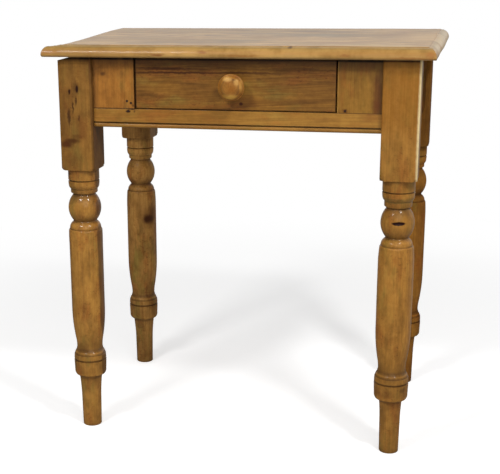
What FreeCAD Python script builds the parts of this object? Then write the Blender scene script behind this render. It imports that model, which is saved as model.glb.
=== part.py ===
"""Small pine tavern table with one drawer, built joint by joint.

Millimetres, +Z up, front towards -Y, origin on the floor under the middle of the table.
"""
import FreeCAD, Part
import math
import os

import Sketcher

V = FreeCAD.Vector
Turn = FreeCAD.Rotation
X_AXIS = V(1, 0, 0)
Z_AXIS = V(0, 0, 1)
SIDES = (("left", -1), ("right", 1))

# ---------------------------------------------------------------- driving dimensions
TABLE = {
    "table_width": 694,
    "table_depth": 468,
    "table_height": 736,
}
TOP = {
    "top_thickness": 21,
    "thumb_radius": 16,        # quarter round worked on all four edges
    "nose_radius": 4,          # small round under the thumb
    "front_board": 154,        # widths of the boards glued into the top
    "middle_board": 168,
}
LEG_BLOCK = {
    "leg_square": 63.5,
    "leg_centre_x": 288,
    "leg_centre_y": 184.5,
    "block_bottom": 510,
    "arris_chamfer": 1.5,
    "pommel_cut": 39.5,        # radius and slope where the lathe takes off the block's corners
    "pommel_slope": 1,
}
BALL = {
    "ball_centre": 435.3,
    "ball_curve": 40.5,        # radius of the ball's outline, struck from beyond the axis
    "ball_flattening": 10,
}
BALL_ARC = 75                  # degrees of outline between the two necks
BALL_FLATS = 5
FRAME = {
    "apron_bottom": 589,
    "apron_thickness": 20,
    "apron_setback": 9.5,      # how far the frame stands behind the faces of the blocks
    "tenon_length": 25,
    "tenon_thickness": 10,
    "tenon_shoulder": 14,
    "bead_radius": 4,          # quirk bead along the foot of the drawer rail
    "quirk_width": 2.2,
    "quirk_depth": 2.2,
    "rail_height": 34,
    "rail_depth": 45,
    "rail_tenon_shoulder": 4,
    "twin_tenon_pitch": 24,
    "rail_edge_round": 1,
    "opening_width": 360,      # clear width between the two stiles
    "tongue_length": 12,
    "tongue_thickness": 8,
    "tongue_low": 5,
    "tongue_high": 10,
    "stub_length": 10,
    "stub_near": 6,            # stub tenon's distances from the stile's two edges
    "stub_far": 10,
    "stile_edge_round": 2,
}
RUNNERS = {
    "runner_inner": 158,
    "runner_thickness": 22,
    "runner_housing": 5,
    "runner_stub_length": 10,
    "runner_stub_height": 12,
    "runner_stub_side": 7,
    "runner_stub_drop": 6,
    "guide_width": 25,
    "guide_height": 30,
    "stop_width": 30,
    "stop_depth": 16,
    "stop_height": 6,
    "stop_centre": 95,
    "stop_gap": 0.5,
}
DRAWER = {
    "drawer_recess": 0.5,      # drawer face behind the face of the frame
    "drawer_side_gap": 2,
    "drawer_bottom_gap": 1.5,
    "drawer_top_gap": 2.5,
    "drawer_slide_gap": 0.2,   # running clearance over the runners
    "front_thickness": 20,
    "front_edge_round": 1.2,
    "side_thickness": 11,
    "side_top": 704,
    "drawer_length": 356,
    "back_top": 700,
    "panel_thickness": 7,
    "panel_lift": 8.5,
    "panel_side_groove": 5,
    "panel_front_groove": 6,
    "panel_tail": 1.5,
    "lap_depth": 13,           # depth of the lap dovetails into the front
    "tail_tip": 10,            # half the width of a tail at its tip and at its root
    "tail_root": 8,
    "first_tail": 640,         # heights of the middles of the tails
    "tail_pitch": 24,
    "first_back_tail": 656,
    "back_tail_pitch": 26,
    "spigot_radius": 7,
    "knob_drop": 3,            # knob's centre below the middle of the drawer front
}
GLUE_BLOCKS = {
    "block_size": 22,
    "block_length": 50,
    "block_chamfer": 8,
    "side_block_y": 80,
    "back_block_x": 90,
    "front_block_x": 225,
}

# The turned part of a leg, from the floor up: a name, a height and a radius for each station.
SHAFT_BELOW_BALL = [
    ("toe", 0, 17.2),
    ("ankle", 94, 20.3),
    ("collar_cove", 102, 22.4),
    ("collar_low", 112.5, 31),
    ("collar_high", 148, 31),
    ("collar_neck", 156.5, 25.6),
    ("vase_neck", 163, 24.4),
    ("vase_bend", 177, 25.8),
    ("vase_swell", 206, 29.3),
    ("vase_belly", 243, 31.6),
    ("vase_shoulder", 373, 31.6),
    ("shoulder_fillet", 395.5, 29.6),
    ("lower_neck", 406.5, 22),
]
SHAFT_ABOVE_BALL = [
    ("upper_neck", 463, 22.4),
    ("step", 475, 25.4),
    ("ring_low", 476.5, 28.9),
    ("pommel", 510, 28.9),
]

# The turned knob, from the drawer face outwards, in the same form.
KNOB = [
    ("foot", 0, 11.2),
    ("throat", 8.5, 11.2),
    ("rim_low", 17.6, 22.9),
    ("rim_high", 21, 22.9),
    ("face_edge", 30.5, 15),
    ("face", 30.5, 0),
]

doc = FreeCAD.newDocument("tavern_table")
sheet = doc.addObject("Spreadsheet::Sheet", "dims")


def fill_sheet():
    """Write every driving dimension into the sheet, one row each, with its name as the alias."""
    rows = {}
    for group in (TABLE, TOP, LEG_BLOCK, BALL, FRAME, RUNNERS, DRAWER, GLUE_BLOCKS):
        rows.update(group)
    for prefix, stations in (("leg", SHAFT_BELOW_BALL + SHAFT_ABOVE_BALL), ("knob", KNOB)):
        for name, height, radius in stations:
            rows[f"{prefix}_{name}_height"] = height
            rows[f"{prefix}_{name}_radius"] = radius
    for row, (name, size) in enumerate(rows.items(), start=1):
        sheet.set(f"A{row}", name)
        sheet.set(f"B{row}", str(size))
        sheet.setAlias(f"B{row}", name)
    doc.recompute()


fill_sheet()

# Places that several pieces share, written as expressions on the sheet.
UNDERSIDE = "(dims.table_height - dims.top_thickness)"
BLOCK_HALF = "(dims.leg_square / 2)"
BLOCK_INNER_X = f"(dims.leg_centre_x - {BLOCK_HALF})"
BLOCK_INNER_Y = f"(dims.leg_centre_y - {BLOCK_HALF})"
FRAME_SIDE = f"(dims.leg_centre_x + {BLOCK_HALF} - dims.apron_setback)"
FRAME_FRONT = f"(dims.leg_centre_y + {BLOCK_HALF} - dims.apron_setback)"
FRAME_INNER_X = f"({FRAME_SIDE} - dims.apron_thickness)"
FRAME_INNER_Y = f"({FRAME_FRONT} - dims.apron_thickness)"
APRON_MIDDLE_Y = f"({FRAME_FRONT} - dims.apron_thickness / 2)"
APRON_HEIGHT = f"({UNDERSIDE} - dims.apron_bottom)"
TENON_LINE = f"({BLOCK_HALF} - dims.apron_setback - dims.apron_thickness / 2)"
TENON_HEIGHT = f"({APRON_HEIGHT} - 2 * dims.tenon_shoulder)"
RAIL_TOP = "(dims.apron_bottom + dims.rail_height)"
RAIL_BACK = f"({FRAME_FRONT} - dims.rail_depth)"
TONGUE_HEIGHT = f"({UNDERSIDE} - {RAIL_TOP} - dims.tongue_low - dims.tongue_high)"
OPENING_SIDE = "(dims.opening_width / 2)"
GUIDE_OUTER = f"({OPENING_SIDE} + dims.guide_width)"
DRAWER_SIDE = f"({OPENING_SIDE} - dims.drawer_side_gap)"
DRAWER_INNER = f"({DRAWER_SIDE} - dims.side_thickness)"
DRAWER_FACE = f"({FRAME_FRONT} - dims.drawer_recess)"
DRAWER_FRONT_BACK = f"({DRAWER_FACE} - dims.front_thickness)"
DRAWER_FOOT = f"({RAIL_TOP} + dims.drawer_bottom_gap)"
DRAWER_HEAD = f"({UNDERSIDE} - dims.drawer_top_gap)"
DRAWER_END = f"(dims.drawer_length - {DRAWER_FACE})"
BACK_FACE = f"({DRAWER_END} - dims.side_thickness)"
PANEL_LOW = f"({DRAWER_FOOT} + dims.panel_lift)"
PANEL_HIGH = f"({PANEL_LOW} + dims.panel_thickness)"
KNOB_HEIGHT = f"(({DRAWER_FOOT} + {DRAWER_HEAD}) / 2 - dims.knob_drop)"


# ---------------------------------------------------------------- helpers
def value(expression):
    """The present size of an expression on the sheet."""
    return float(sheet.evalExpression(expression))


def mirrored(side, expression):
    """The expression on its own side of a centre line, -1 or +1."""
    return f"{side} * ({expression})"


def across(middle, thickness):
    """The two edges of a joint of this thickness about its middle line."""
    return f"({middle}) - {thickness} / 2", f"({middle}) + {thickness} / 2"


def make_body(label):
    body = doc.addObject("PartDesign::Body", label)
    body.Label = label
    return body


def place(piece, x="0", y="0", z="0", turn=None):
    """Set a piece at its place in the table, bound to the sheet."""
    if turn is not None:
        piece.Placement = FreeCAD.Placement(V(0, 0, 0), turn)
    piece.setExpression(".Placement.Base.x", x)
    piece.setExpression(".Placement.Base.y", y)
    piece.setExpression(".Placement.Base.z", z)


def make_sketch(body, name, plane, lift="0"):
    """A sketch on one of the body's own origin planes, lifted along the plane's normal."""
    sketch = body.newObject("Sketcher::SketchObject", f"{body.Label}_{name}")
    support = [item for item in body.Origin.OriginFeatures if item.Role == plane][0]
    sketch.AttachmentSupport = [(support, "")]
    sketch.MapMode = "FlatFace"
    sketch.setExpression("AttachmentOffset.Base.z", lift)
    return sketch


def bind(sketch, constraint, expression):
    """Add a constraint and let the sheet drive it."""
    sketch.addConstraint(constraint)
    sketch.setExpression(f"Constraints[{sketch.ConstraintCount - 1}]", expression)


def bind_point(sketch, geometry, point, x, y):
    """Hold a point of the sketch at x, y from its origin."""
    for kind, axis, expression in (("DistanceX", -2, x), ("DistanceY", -1, y)):
        size = value(expression)
        if abs(size) < 1e-9:
            sketch.addConstraint(Sketcher.Constraint("PointOnObject", geometry, point, axis))
        else:
            bind(sketch, Sketcher.Constraint(kind, -1, 1, geometry, point, size), expression)


def arc_between(start, end, radius):
    """An arc from start to end that swells to the right of the way along."""
    chord = end - start
    swell = radius - math.sqrt(radius * radius - chord.Length * chord.Length / 4)
    right = V(chord.y, -chord.x, 0).normalize()
    return Part.Arc(start, (start + end) / 2 + right * swell, end)


def slender_taper(start, end):
    """A straight line as a spline of degree one, which meshes in one row however long it is."""
    line = Part.BSplineCurve()
    line.buildFromPoles([start, end], False, 1)
    return line


def outline(sketch, corners, arcs=None, on_lathe=False):
    """Close a loop through corners, pairs of expressions, and bind each of them to the sheet.

    arcs holds a radius expression for each edge, by its number, that is round.
    """
    arcs = arcs or {}
    points = [V(value(x), value(y), 0) for x, y in corners]
    first = sketch.GeometryCount
    ends = []
    for index, start in enumerate(points):
        end = points[(index + 1) % len(points)]
        run, rise = abs(end.x - start.x), abs(end.y - start.y)
        if index in arcs:
            geometry = sketch.addGeometry(arc_between(start, end, value(arcs[index])))
            bind(sketch, Sketcher.Constraint("Radius", geometry, value(arcs[index])), arcs[index])
        elif on_lathe and 1e-6 < run < rise / 3:
            geometry = sketch.addGeometry(slender_taper(start, end))
        else:
            geometry = sketch.addGeometry(Part.LineSegment(start, end))
        forwards = sketch.getPoint(geometry, 1).distanceToPoint(start) < 1e-6
        ends.append((1, 2) if forwards else (2, 1))
    for index, (x, y) in enumerate(corners):
        before = (index - 1) % len(corners)
        start = ends[index][0]
        meeting = (first + before, ends[before][1], first + index, start)
        sketch.addConstraint(Sketcher.Constraint("Coincident", *meeting))
        bind_point(sketch, first + index, start, x, y)


def rectangle(sketch, x_low, x_high, y_low, y_high):
    outline(sketch, [(x_low, y_low), (x_high, y_low), (x_high, y_high), (x_low, y_high)])


def circle(sketch, x, y, radius):
    centre = V(value(x), value(y), 0)
    geometry = sketch.addGeometry(Part.Circle(centre, Z_AXIS, value(radius)))
    bind_point(sketch, geometry, 3, x, y)
    bind(sketch, Sketcher.Constraint("Radius", geometry, value(radius)), radius)


def pad(body, sketch, length, symmetric=False):
    feature = body.newObject("PartDesign::Pad", f"{sketch.Label}_pad")
    feature.Profile = sketch
    feature.SideType = "Symmetric" if symmetric else "One side"
    feature.setExpression("Length", length)
    doc.recompute()
    return feature


def pocket(body, sketch, length, symmetric=False, along_normal=False):
    """Cut a pocket, and stop if it removed nothing."""
    before = body.Shape.Volume
    feature = body.newObject("PartDesign::Pocket", f"{sketch.Label}_pocket")
    feature.Profile = sketch
    feature.SideType = "Symmetric" if symmetric else "One side"
    feature.Reversed = along_normal
    feature.setExpression("Length", length)
    doc.recompute()
    if body.Shape.Volume > before - 1e-3:
        raise RuntimeError(f"{feature.Label} removed nothing")
    return feature


def turn_on_lathe(body, sketch, kind="PartDesign::Revolution"):
    """Turn a half profile about the sketch's upright axis."""
    feature = body.newObject(kind, f"{sketch.Label}_turned")
    feature.Profile = sketch
    feature.ReferenceAxis = (sketch, ["V_Axis"])
    feature.Angle = 360
    doc.recompute()
    return feature


def ease_edges(body, kind, size, wanted):
    """Fillet or chamfer those edges of the body that the test picks out."""
    names = [f"Edge{index}" for index, edge in enumerate(body.Shape.Edges, start=1) if wanted(edge)]
    base = body.Tip
    feature = body.newObject(f"PartDesign::{kind}", f"{body.Label}_{kind.lower()}")
    feature.Base = (base, names)
    feature.setExpression({"Fillet": "Radius", "Chamfer": "Size"}[kind], size)
    doc.recompute()
    return feature


def runs_along(edge, axis, **places):
    """True for a straight edge parallel to the axis whose middle has these coordinates."""
    if not isinstance(edge.Curve, Part.Line):
        return False
    run = edge.Vertexes[1].Point - edge.Vertexes[0].Point
    middle = edge.CenterOfMass
    parallel = abs(abs(run.dot(axis)) - run.Length) < 1e-6
    return parallel and all(abs(getattr(middle, name) - at) < 1e-6 for name, at in places.items())


def stations(prefix, profile):
    """Radius and height expressions of a turned profile's stations."""
    return [(f"dims.{prefix}_{name}_radius", f"dims.{prefix}_{name}_height") for name, _, _ in profile]


# ---------------------------------------------------------------- legs
def ball_profile():
    """The ball's outline as a ring of equal flats, fine enough to read as round."""
    corners = []
    for step in range(BALL_FLATS + 1):
        angle = math.radians(BALL_ARC * (step / BALL_FLATS - 0.5))
        corners.append((f"dims.ball_curve * {math.cos(angle):.5f} - dims.ball_flattening",
                        f"dims.ball_centre + dims.ball_curve * ({math.sin(angle):.5f})"))
    return corners


def leg_profile():
    """Half profile of the shaft from the floor to the block, closed along its axis."""
    below, above = stations("leg", SHAFT_BELOW_BALL), stations("leg", SHAFT_ABOVE_BALL)
    foot, head = ("0", below[0][1]), ("0", above[-1][1])
    return [foot, *below, *ball_profile(), *above, head]


def cut_mortises(leg, name, foot, height, boxes):
    """Cut mortises from the height of their foot upwards; each box is two edges in x and two in y."""
    sketch = make_sketch(leg, name, "XY_Plane", foot)
    for box in boxes:
        rectangle(sketch, *box)
    pocket(leg, sketch, height, along_normal=True)


def make_leg(label, inward_x, inward_y):
    """One leg: a turned shaft under a square block, mortised on its two inner faces."""
    leg = make_body(label)
    shaft = make_sketch(leg, "shaft", "XZ_Plane")
    outline(shaft, leg_profile(), on_lathe=True)
    turn_on_lathe(leg, shaft)
    square = make_sketch(leg, "block", "XY_Plane", "dims.block_bottom")
    rectangle(square, f"-{BLOCK_HALF}", BLOCK_HALF, f"-{BLOCK_HALF}", BLOCK_HALF)
    pad(leg, square, f"{UNDERSIDE} - dims.block_bottom")
    ease_edges(leg, "Chamfer", "dims.arris_chamfer", lambda edge: runs_along(edge, Z_AXIS))
    corner = make_sketch(leg, "pommel", "XZ_Plane")
    outline(corner, [
        ("dims.pommel_cut", "dims.block_bottom"),
        ("dims.leg_square", "dims.block_bottom"),
        ("dims.leg_square",
         "dims.block_bottom + dims.pommel_slope * (dims.leg_square - dims.pommel_cut)"),
    ])
    turn_on_lathe(leg, corner, "PartDesign::Groove")

    x_face, y_face = mirrored(inward_x, BLOCK_HALF), mirrored(inward_y, BLOCK_HALF)
    tenon_end = f"{BLOCK_HALF} - dims.tenon_length"
    x_floor, y_floor = mirrored(inward_x, tenon_end), mirrored(inward_y, tenon_end)
    tenon_foot = "dims.apron_bottom + dims.tenon_shoulder"
    side_line, cross_line = mirrored(-inward_x, TENON_LINE), mirrored(-inward_y, TENON_LINE)
    cut_mortises(leg, "side_mortise", tenon_foot, TENON_HEIGHT,
                 [(*across(side_line, "dims.tenon_thickness"), y_floor, y_face)])
    if inward_y < 0:
        cut_mortises(leg, "back_mortise", tenon_foot, TENON_HEIGHT,
                     [(x_floor, x_face, *across(cross_line, "dims.tenon_thickness"))])
    else:
        twin_lines = (cross_line, f"{cross_line} + dims.twin_tenon_pitch")
        cut_mortises(leg, "rail_mortises", "dims.apron_bottom + dims.rail_tenon_shoulder",
                     "dims.rail_height - 2 * dims.rail_tenon_shoulder",
                     [(x_floor, x_face, *across(line, "dims.tenon_thickness"))
                      for line in twin_lines])
        tongue_end = mirrored(inward_x, f"{BLOCK_HALF} - dims.tongue_length")
        cut_mortises(leg, "stile_mortise", f"{RAIL_TOP} + dims.tongue_low", TONGUE_HEIGHT,
                     [(tongue_end, x_face, *across(cross_line, "dims.tongue_thickness"))])
    place(leg, mirrored(-inward_x, "dims.leg_centre_x"), mirrored(-inward_y, "dims.leg_centre_y"))
    return leg


legs = [
    make_leg("leg_front_left", 1, 1),
    make_leg("leg_front_right", -1, 1),
    make_leg("leg_back_left", 1, -1),
    make_leg("leg_back_right", -1, -1),
]


# ---------------------------------------------------------------- aprons
def make_apron(label, half_length):
    """An apron board along X, standing on its own lower edge, with a tenon at each end."""
    apron = make_body(label)
    board = make_sketch(apron, "board", "XY_Plane")
    rectangle(board, f"-{half_length}", half_length, *across("0", "dims.apron_thickness"))
    pad(apron, board, APRON_HEIGHT)
    tenons = make_sketch(apron, "tenons", "XY_Plane", "dims.tenon_shoulder")
    reach = f"({half_length} + dims.tenon_length)"
    rectangle(tenons, f"-{reach}", reach, *across("0", "dims.tenon_thickness"))
    pad(apron, tenons, TENON_HEIGHT)
    return apron


def make_side_apron(label, side):
    apron = make_apron(label, BLOCK_INNER_Y)
    middle = mirrored(side, f"{FRAME_SIDE} - dims.apron_thickness / 2")
    place(apron, middle, "0", "dims.apron_bottom", Turn(Z_AXIS, 90))
    return apron


def make_back_apron():
    """The back apron, housed on its inner face for the ends of the two runners."""
    apron = make_apron("back_apron", BLOCK_INNER_X)
    housings = make_sketch(apron, "runner_housings", "XY_Plane",
                           "dims.rail_height - dims.runner_thickness")
    face, _ = across("0", "dims.apron_thickness")
    for _, side in SIDES:
        rectangle(housings, mirrored(side, "dims.runner_inner"), mirrored(side, GUIDE_OUTER),
                  face, f"{face} + dims.runner_housing")
    pocket(apron, housings, "dims.runner_thickness", along_normal=True)
    place(apron, "0", APRON_MIDDLE_Y, "dims.apron_bottom")
    return apron


side_aprons = [make_side_apron(f"side_apron_{name}", side) for name, side in SIDES]
back_apron = make_back_apron()

# ---------------------------------------------------------------- drawer rail and stiles
STUB_NEAR = f"({OPENING_SIDE} + dims.stub_near)"
STUB_FAR = f"({BLOCK_INNER_X} - dims.stub_far)"
STUB_ACROSS = across(f"-{APRON_MIDDLE_Y}", "dims.tongue_thickness")
RUNNER_STUB_SIDES = ("(dims.runner_inner + dims.runner_stub_side)",
                     f"({GUIDE_OUTER} - dims.runner_stub_side)")
RUNNER_STUB_FOOT = f"({RAIL_TOP} - dims.runner_stub_drop - dims.runner_stub_height)"
RUNNER_STUB_DEPTH = (f"-{RAIL_BACK} - dims.runner_stub_length", f"-{RAIL_BACK}")


def make_rail():
    """The rail under the drawer: a quirk bead worked along its foot, and twin tenons each end."""
    rail = make_body("front_bottom_rail")
    section = make_sketch(rail, "section", "YZ_Plane")
    face, back = f"-{FRAME_FRONT}", f"-{RAIL_BACK}"
    floor = f"{face} + dims.quirk_depth"
    bead_rise = "sqrt(dims.bead_radius^2 - (dims.bead_radius - dims.quirk_depth)^2)"
    quirk_low = f"(dims.apron_bottom + dims.bead_radius + {bead_rise})"
    outline(section, [
        (face, "dims.apron_bottom + dims.bead_radius"),
        (f"{face} + dims.bead_radius", "dims.apron_bottom"),
        (back, "dims.apron_bottom"),
        (back, RAIL_TOP),
        (face, RAIL_TOP),
        (face, f"{quirk_low} + dims.quirk_width"),
        (floor, f"{quirk_low} + dims.quirk_width"),
        (floor, quirk_low),
    ], {0: "dims.bead_radius", 7: "dims.bead_radius"})
    pad(rail, section, f"2 * {BLOCK_INNER_X}", symmetric=True)
    front, top = -value(FRAME_FRONT), value(RAIL_TOP)
    ease_edges(rail, "Fillet", "dims.rail_edge_round", lambda edge: runs_along(edge, X_AXIS, y=front, z=top))
    tenons = make_sketch(rail, "tenons", "YZ_Plane")
    for line in (f"-{APRON_MIDDLE_Y}", f"dims.twin_tenon_pitch - {APRON_MIDDLE_Y}"):
        rectangle(tenons, *across(line, "dims.tenon_thickness"),
                  "dims.apron_bottom + dims.rail_tenon_shoulder",
                  f"{RAIL_TOP} - dims.rail_tenon_shoulder")
    pad(rail, tenons, f"2 * ({BLOCK_INNER_X} + dims.tenon_length)", symmetric=True)
    stile_mortises = make_sketch(rail, "stile_mortises", "XY_Plane", RAIL_TOP)
    runner_mortises = make_sketch(rail, "runner_mortises", "XY_Plane", RUNNER_STUB_FOOT)
    for _, side in SIDES:
        rectangle(stile_mortises, mirrored(side, STUB_NEAR), mirrored(side, STUB_FAR), *STUB_ACROSS)
        rectangle(runner_mortises, *[mirrored(side, edge) for edge in RUNNER_STUB_SIDES],
                  *RUNNER_STUB_DEPTH)
    pocket(rail, stile_mortises, "dims.stub_length")
    pocket(rail, runner_mortises, "dims.runner_stub_height", along_normal=True)
    return rail


def make_stile(label, side):
    """The upright piece between a front leg and the drawer, let into the leg and the rail."""
    stile = make_body(label)
    board = make_sketch(stile, "board", "XY_Plane", RAIL_TOP)
    rectangle(board, mirrored(side, OPENING_SIDE), mirrored(side, BLOCK_INNER_X),
              *across(f"-{APRON_MIDDLE_Y}", "dims.apron_thickness"))
    pad(stile, board, f"{UNDERSIDE} - {RAIL_TOP}")
    front, edge_x = -value(FRAME_FRONT), side * value(OPENING_SIDE)
    ease_edges(stile, "Fillet", "dims.stile_edge_round",
                lambda edge: runs_along(edge, Z_AXIS, x=edge_x, y=front))
    tongue = make_sketch(stile, "tongue", "XY_Plane", f"{RAIL_TOP} + dims.tongue_low")
    rectangle(tongue, mirrored(side, BLOCK_INNER_X),
              mirrored(side, f"{BLOCK_INNER_X} + dims.tongue_length"), *STUB_ACROSS)
    pad(stile, tongue, TONGUE_HEIGHT)
    stub = make_sketch(stile, "stub", "XY_Plane", f"{RAIL_TOP} - dims.stub_length")
    rectangle(stub, mirrored(side, STUB_NEAR), mirrored(side, STUB_FAR), *STUB_ACROSS)
    pad(stile, stub, "dims.stub_length")
    return stile


front_bottom_rail = make_rail()
stiles = [make_stile(f"front_stile_{name}", side) for name, side in SIDES]


# ---------------------------------------------------------------- runners, guides and stops
def make_runner(label, side):
    """The bar that carries the drawer, stub-tenoned into the rail and housed in the back apron."""
    runner = make_body(label)
    bar = make_sketch(runner, "bar", "XY_Plane", f"{RAIL_TOP} - dims.runner_thickness")
    rectangle(bar, mirrored(side, "dims.runner_inner"), mirrored(side, GUIDE_OUTER),
              f"-{RAIL_BACK}", f"{FRAME_INNER_Y} + dims.runner_housing")
    pad(runner, bar, "dims.runner_thickness")
    stub = make_sketch(runner, "stub", "XY_Plane", RUNNER_STUB_FOOT)
    rectangle(stub, *[mirrored(side, edge) for edge in RUNNER_STUB_SIDES], *RUNNER_STUB_DEPTH)
    pad(runner, stub, "dims.runner_stub_height")
    return runner


def make_guide(label, side):
    """The strip on top of a runner that keeps the drawer from slewing."""
    guide = make_body(label)
    strip = make_sketch(guide, "strip", "XY_Plane", RAIL_TOP)
    rectangle(strip, mirrored(side, OPENING_SIDE), mirrored(side, GUIDE_OUTER),
              f"-{FRAME_INNER_Y}", FRAME_INNER_Y)
    pad(guide, strip, "dims.guide_height")
    return guide


def make_stop(name, side):
    """A thin block glued on the rail that the shut drawer front meets."""
    stop = doc.addObject("Part::Box", f"drawer_stop_{name}")
    stop.setExpression("Length", "dims.stop_width")
    stop.setExpression("Width", "dims.stop_depth")
    stop.setExpression("Height", "dims.stop_height")
    place(stop, f"{side} * dims.stop_centre - dims.stop_width / 2",
          f"dims.stop_gap - {DRAWER_FRONT_BACK}", RAIL_TOP)
    return stop


def make_group(label, pieces):
    """Like pieces kept together as one node of separate solids."""
    compound = doc.addObject("Part::Compound", label)
    compound.Label = label
    compound.Links = pieces
    return compound


runners = [make_runner(f"drawer_runner_{name}", side) for name, side in SIDES]
guides = [make_guide(f"drawer_guide_{name}", side) for name, side in SIDES]
drawer_stops = make_group("drawer_stops", [make_stop(name, side) for name, side in SIDES])


# ---------------------------------------------------------------- table top
def draw_edge_section(sketch, half_width):
    """Section of the top: flat faces, a thumb moulding under a small step, a soft lower edge."""
    thumb, nose = "dims.thumb_radius", "dims.nose_radius"
    flat, step = f"({half_width} - {thumb})", f"{UNDERSIDE} + {nose} + {thumb}"
    corners = [
        (f"-({half_width} - {nose})", UNDERSIDE),
        (f"{half_width} - {nose}", UNDERSIDE),
        (half_width, f"{UNDERSIDE} + {nose}"),
        (flat, step),
        (flat, "dims.table_height"),
        (f"-{flat}", "dims.table_height"),
        (f"-{flat}", step),
        (f"-{half_width}", f"{UNDERSIDE} + {nose}"),
    ]
    outline(sketch, corners, {1: nose, 2: thumb, 6: thumb, 7: nose})


def make_panel():
    """The whole top before its boards are told apart; its long and end mouldings meet in mitres."""
    lengths = []
    for label, plane, half_width, length in (
            ("top_long_edges", "YZ_Plane", "(dims.table_depth / 2)", "dims.table_width"),
            ("top_end_edges", "XZ_Plane", "(dims.table_width / 2)", "dims.table_depth")):
        moulded = make_body(label)
        section = make_sketch(moulded, "section", plane)
        draw_edge_section(section, half_width)
        pad(moulded, section, length, symmetric=True)
        lengths.append(moulded)
    panel = doc.addObject("Part::Common", "top_panel")
    panel.Base, panel.Tool = lengths
    return panel


def make_board(label, panel, front, width):
    """One board of the top: the share of the panel behind its front joint."""
    slab = doc.addObject("Part::Box", f"{label}_share")
    slab.setExpression("Length", "dims.table_width")
    slab.setExpression("Width", width)
    slab.setExpression("Height", "dims.top_thickness")
    place(slab, "-dims.table_width / 2", front, UNDERSIDE)
    board = doc.addObject("Part::Common", label)
    board.Label = label
    board.Base, board.Tool = panel, slab
    return board


def make_top():
    panel = make_panel()
    front = "(-dims.table_depth / 2)"
    first_joint = f"({front} + dims.front_board)"
    second_joint = f"({first_joint} + dims.middle_board)"
    return [
        make_board("top_board_front", panel, front, "dims.front_board"),
        make_board("top_board_middle", panel, first_joint, "dims.middle_board"),
        make_board("top_board_back", panel, second_joint, f"dims.table_depth / 2 - {second_joint}"),
    ]


def make_glue_block(index, x, y, quarter):
    """A block rubbed into the corner between frame and top, its free corner planed off."""
    block = make_body(f"glue_block_{index}")
    section = make_sketch(block, "section", "XZ_Plane")
    half = "(dims.block_size / 2)"
    outline(section, [
        (f"-{half}", "0"),
        (f"{half} - dims.block_chamfer", "0"),
        (half, "dims.block_chamfer"),
        (half, "dims.block_size"),
        (f"-{half}", "dims.block_size"),
    ])
    pad(block, section, "dims.block_length", symmetric=True)
    place(block, x, y, f"{UNDERSIDE} - dims.block_size", Turn(Z_AXIS, quarter))
    return block


def glue_block_places():
    """Middle of each block under the top, and the turn that backs it onto its board."""
    at_side = f"({FRAME_INNER_X} - dims.block_size / 2)"
    at_end = f"({FRAME_INNER_Y} - dims.block_size / 2)"
    places = []
    for _, side in SIDES:
        backing = 0 if side < 0 else 180
        for along in (-1, 1):
            places.append((mirrored(side, at_side), mirrored(along, "dims.side_block_y"), backing))
        places.append((mirrored(side, "dims.back_block_x"), at_end, -90))
        places.append((mirrored(side, "dims.front_block_x"), f"-{at_end}", 90))
    return places


top_boards = make_top()
glue_blocks = make_group("glue_blocks", [make_glue_block(index, *spot) for index, spot
                                         in enumerate(glue_block_places(), start=1)])

# ---------------------------------------------------------------- drawer
FRONT_TAILS = [f"dims.first_tail + {step} * dims.tail_pitch" for step in range(3)]
BACK_TAILS = [f"dims.first_back_tail + {step} * dims.back_tail_pitch" for step in range(2)]
FRONT_TAIL_TIP = f"-({DRAWER_FRONT_BACK} + dims.lap_depth)"
PANEL_FRONT = f"-({DRAWER_FRONT_BACK} + dims.panel_front_groove)"


def draw_tails(sketch, heights, root, tip):
    """Dovetails that widen from their root to their tip, at these heights."""
    for height in heights:
        outline(sketch, [
            (root, f"{height} - dims.tail_root"),
            (tip, f"{height} - dims.tail_tip"),
            (tip, f"{height} + dims.tail_tip"),
            (root, f"{height} + dims.tail_root"),
        ])


def inner_plane(side, thickness):
    """Where to lift a YZ sketch so that a feature of this thickness stands outside the drawer space."""
    return DRAWER_INNER if side > 0 else f"-({DRAWER_INNER} + {thickness})"


def cut_sockets(board, heights, root, tip):
    """Cut the sockets for the tails of both drawer sides."""
    for name, side in SIDES:
        lift = inner_plane(side, "dims.side_thickness")
        sockets = make_sketch(board, f"{name}_sockets", "YZ_Plane", lift)
        draw_tails(sockets, heights, root, tip)
        pocket(board, sockets, "dims.side_thickness", along_normal=True)


def make_drawer_front():
    """Drawer front: lap dovetail sockets at both ends, a groove for the bottom, a knob hole."""
    front = make_body("drawer_front")
    board = make_sketch(front, "board", "XZ_Plane", DRAWER_FRONT_BACK)
    rectangle(board, f"-{DRAWER_SIDE}", DRAWER_SIDE, DRAWER_FOOT, DRAWER_HEAD)
    pad(front, board, "dims.front_thickness")
    face_y = -value(DRAWER_FACE)
    ease_edges(front, "Fillet", "dims.front_edge_round", lambda edge: abs(edge.BoundBox.YMax - face_y) < 1e-6)
    cut_sockets(front, FRONT_TAILS, f"-{DRAWER_FRONT_BACK}", FRONT_TAIL_TIP)
    groove = make_sketch(front, "groove", "YZ_Plane")
    rectangle(groove, PANEL_FRONT, f"-{DRAWER_FRONT_BACK}", PANEL_LOW, PANEL_HIGH)
    pocket(front, groove, f"2 * ({DRAWER_INNER} + dims.panel_side_groove)", symmetric=True)
    hole = make_sketch(front, "knob_hole", "XZ_Plane", DRAWER_FACE)
    circle(hole, "0", KNOB_HEIGHT, "dims.spigot_radius")
    pocket(front, hole, "dims.front_thickness")
    return front


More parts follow.
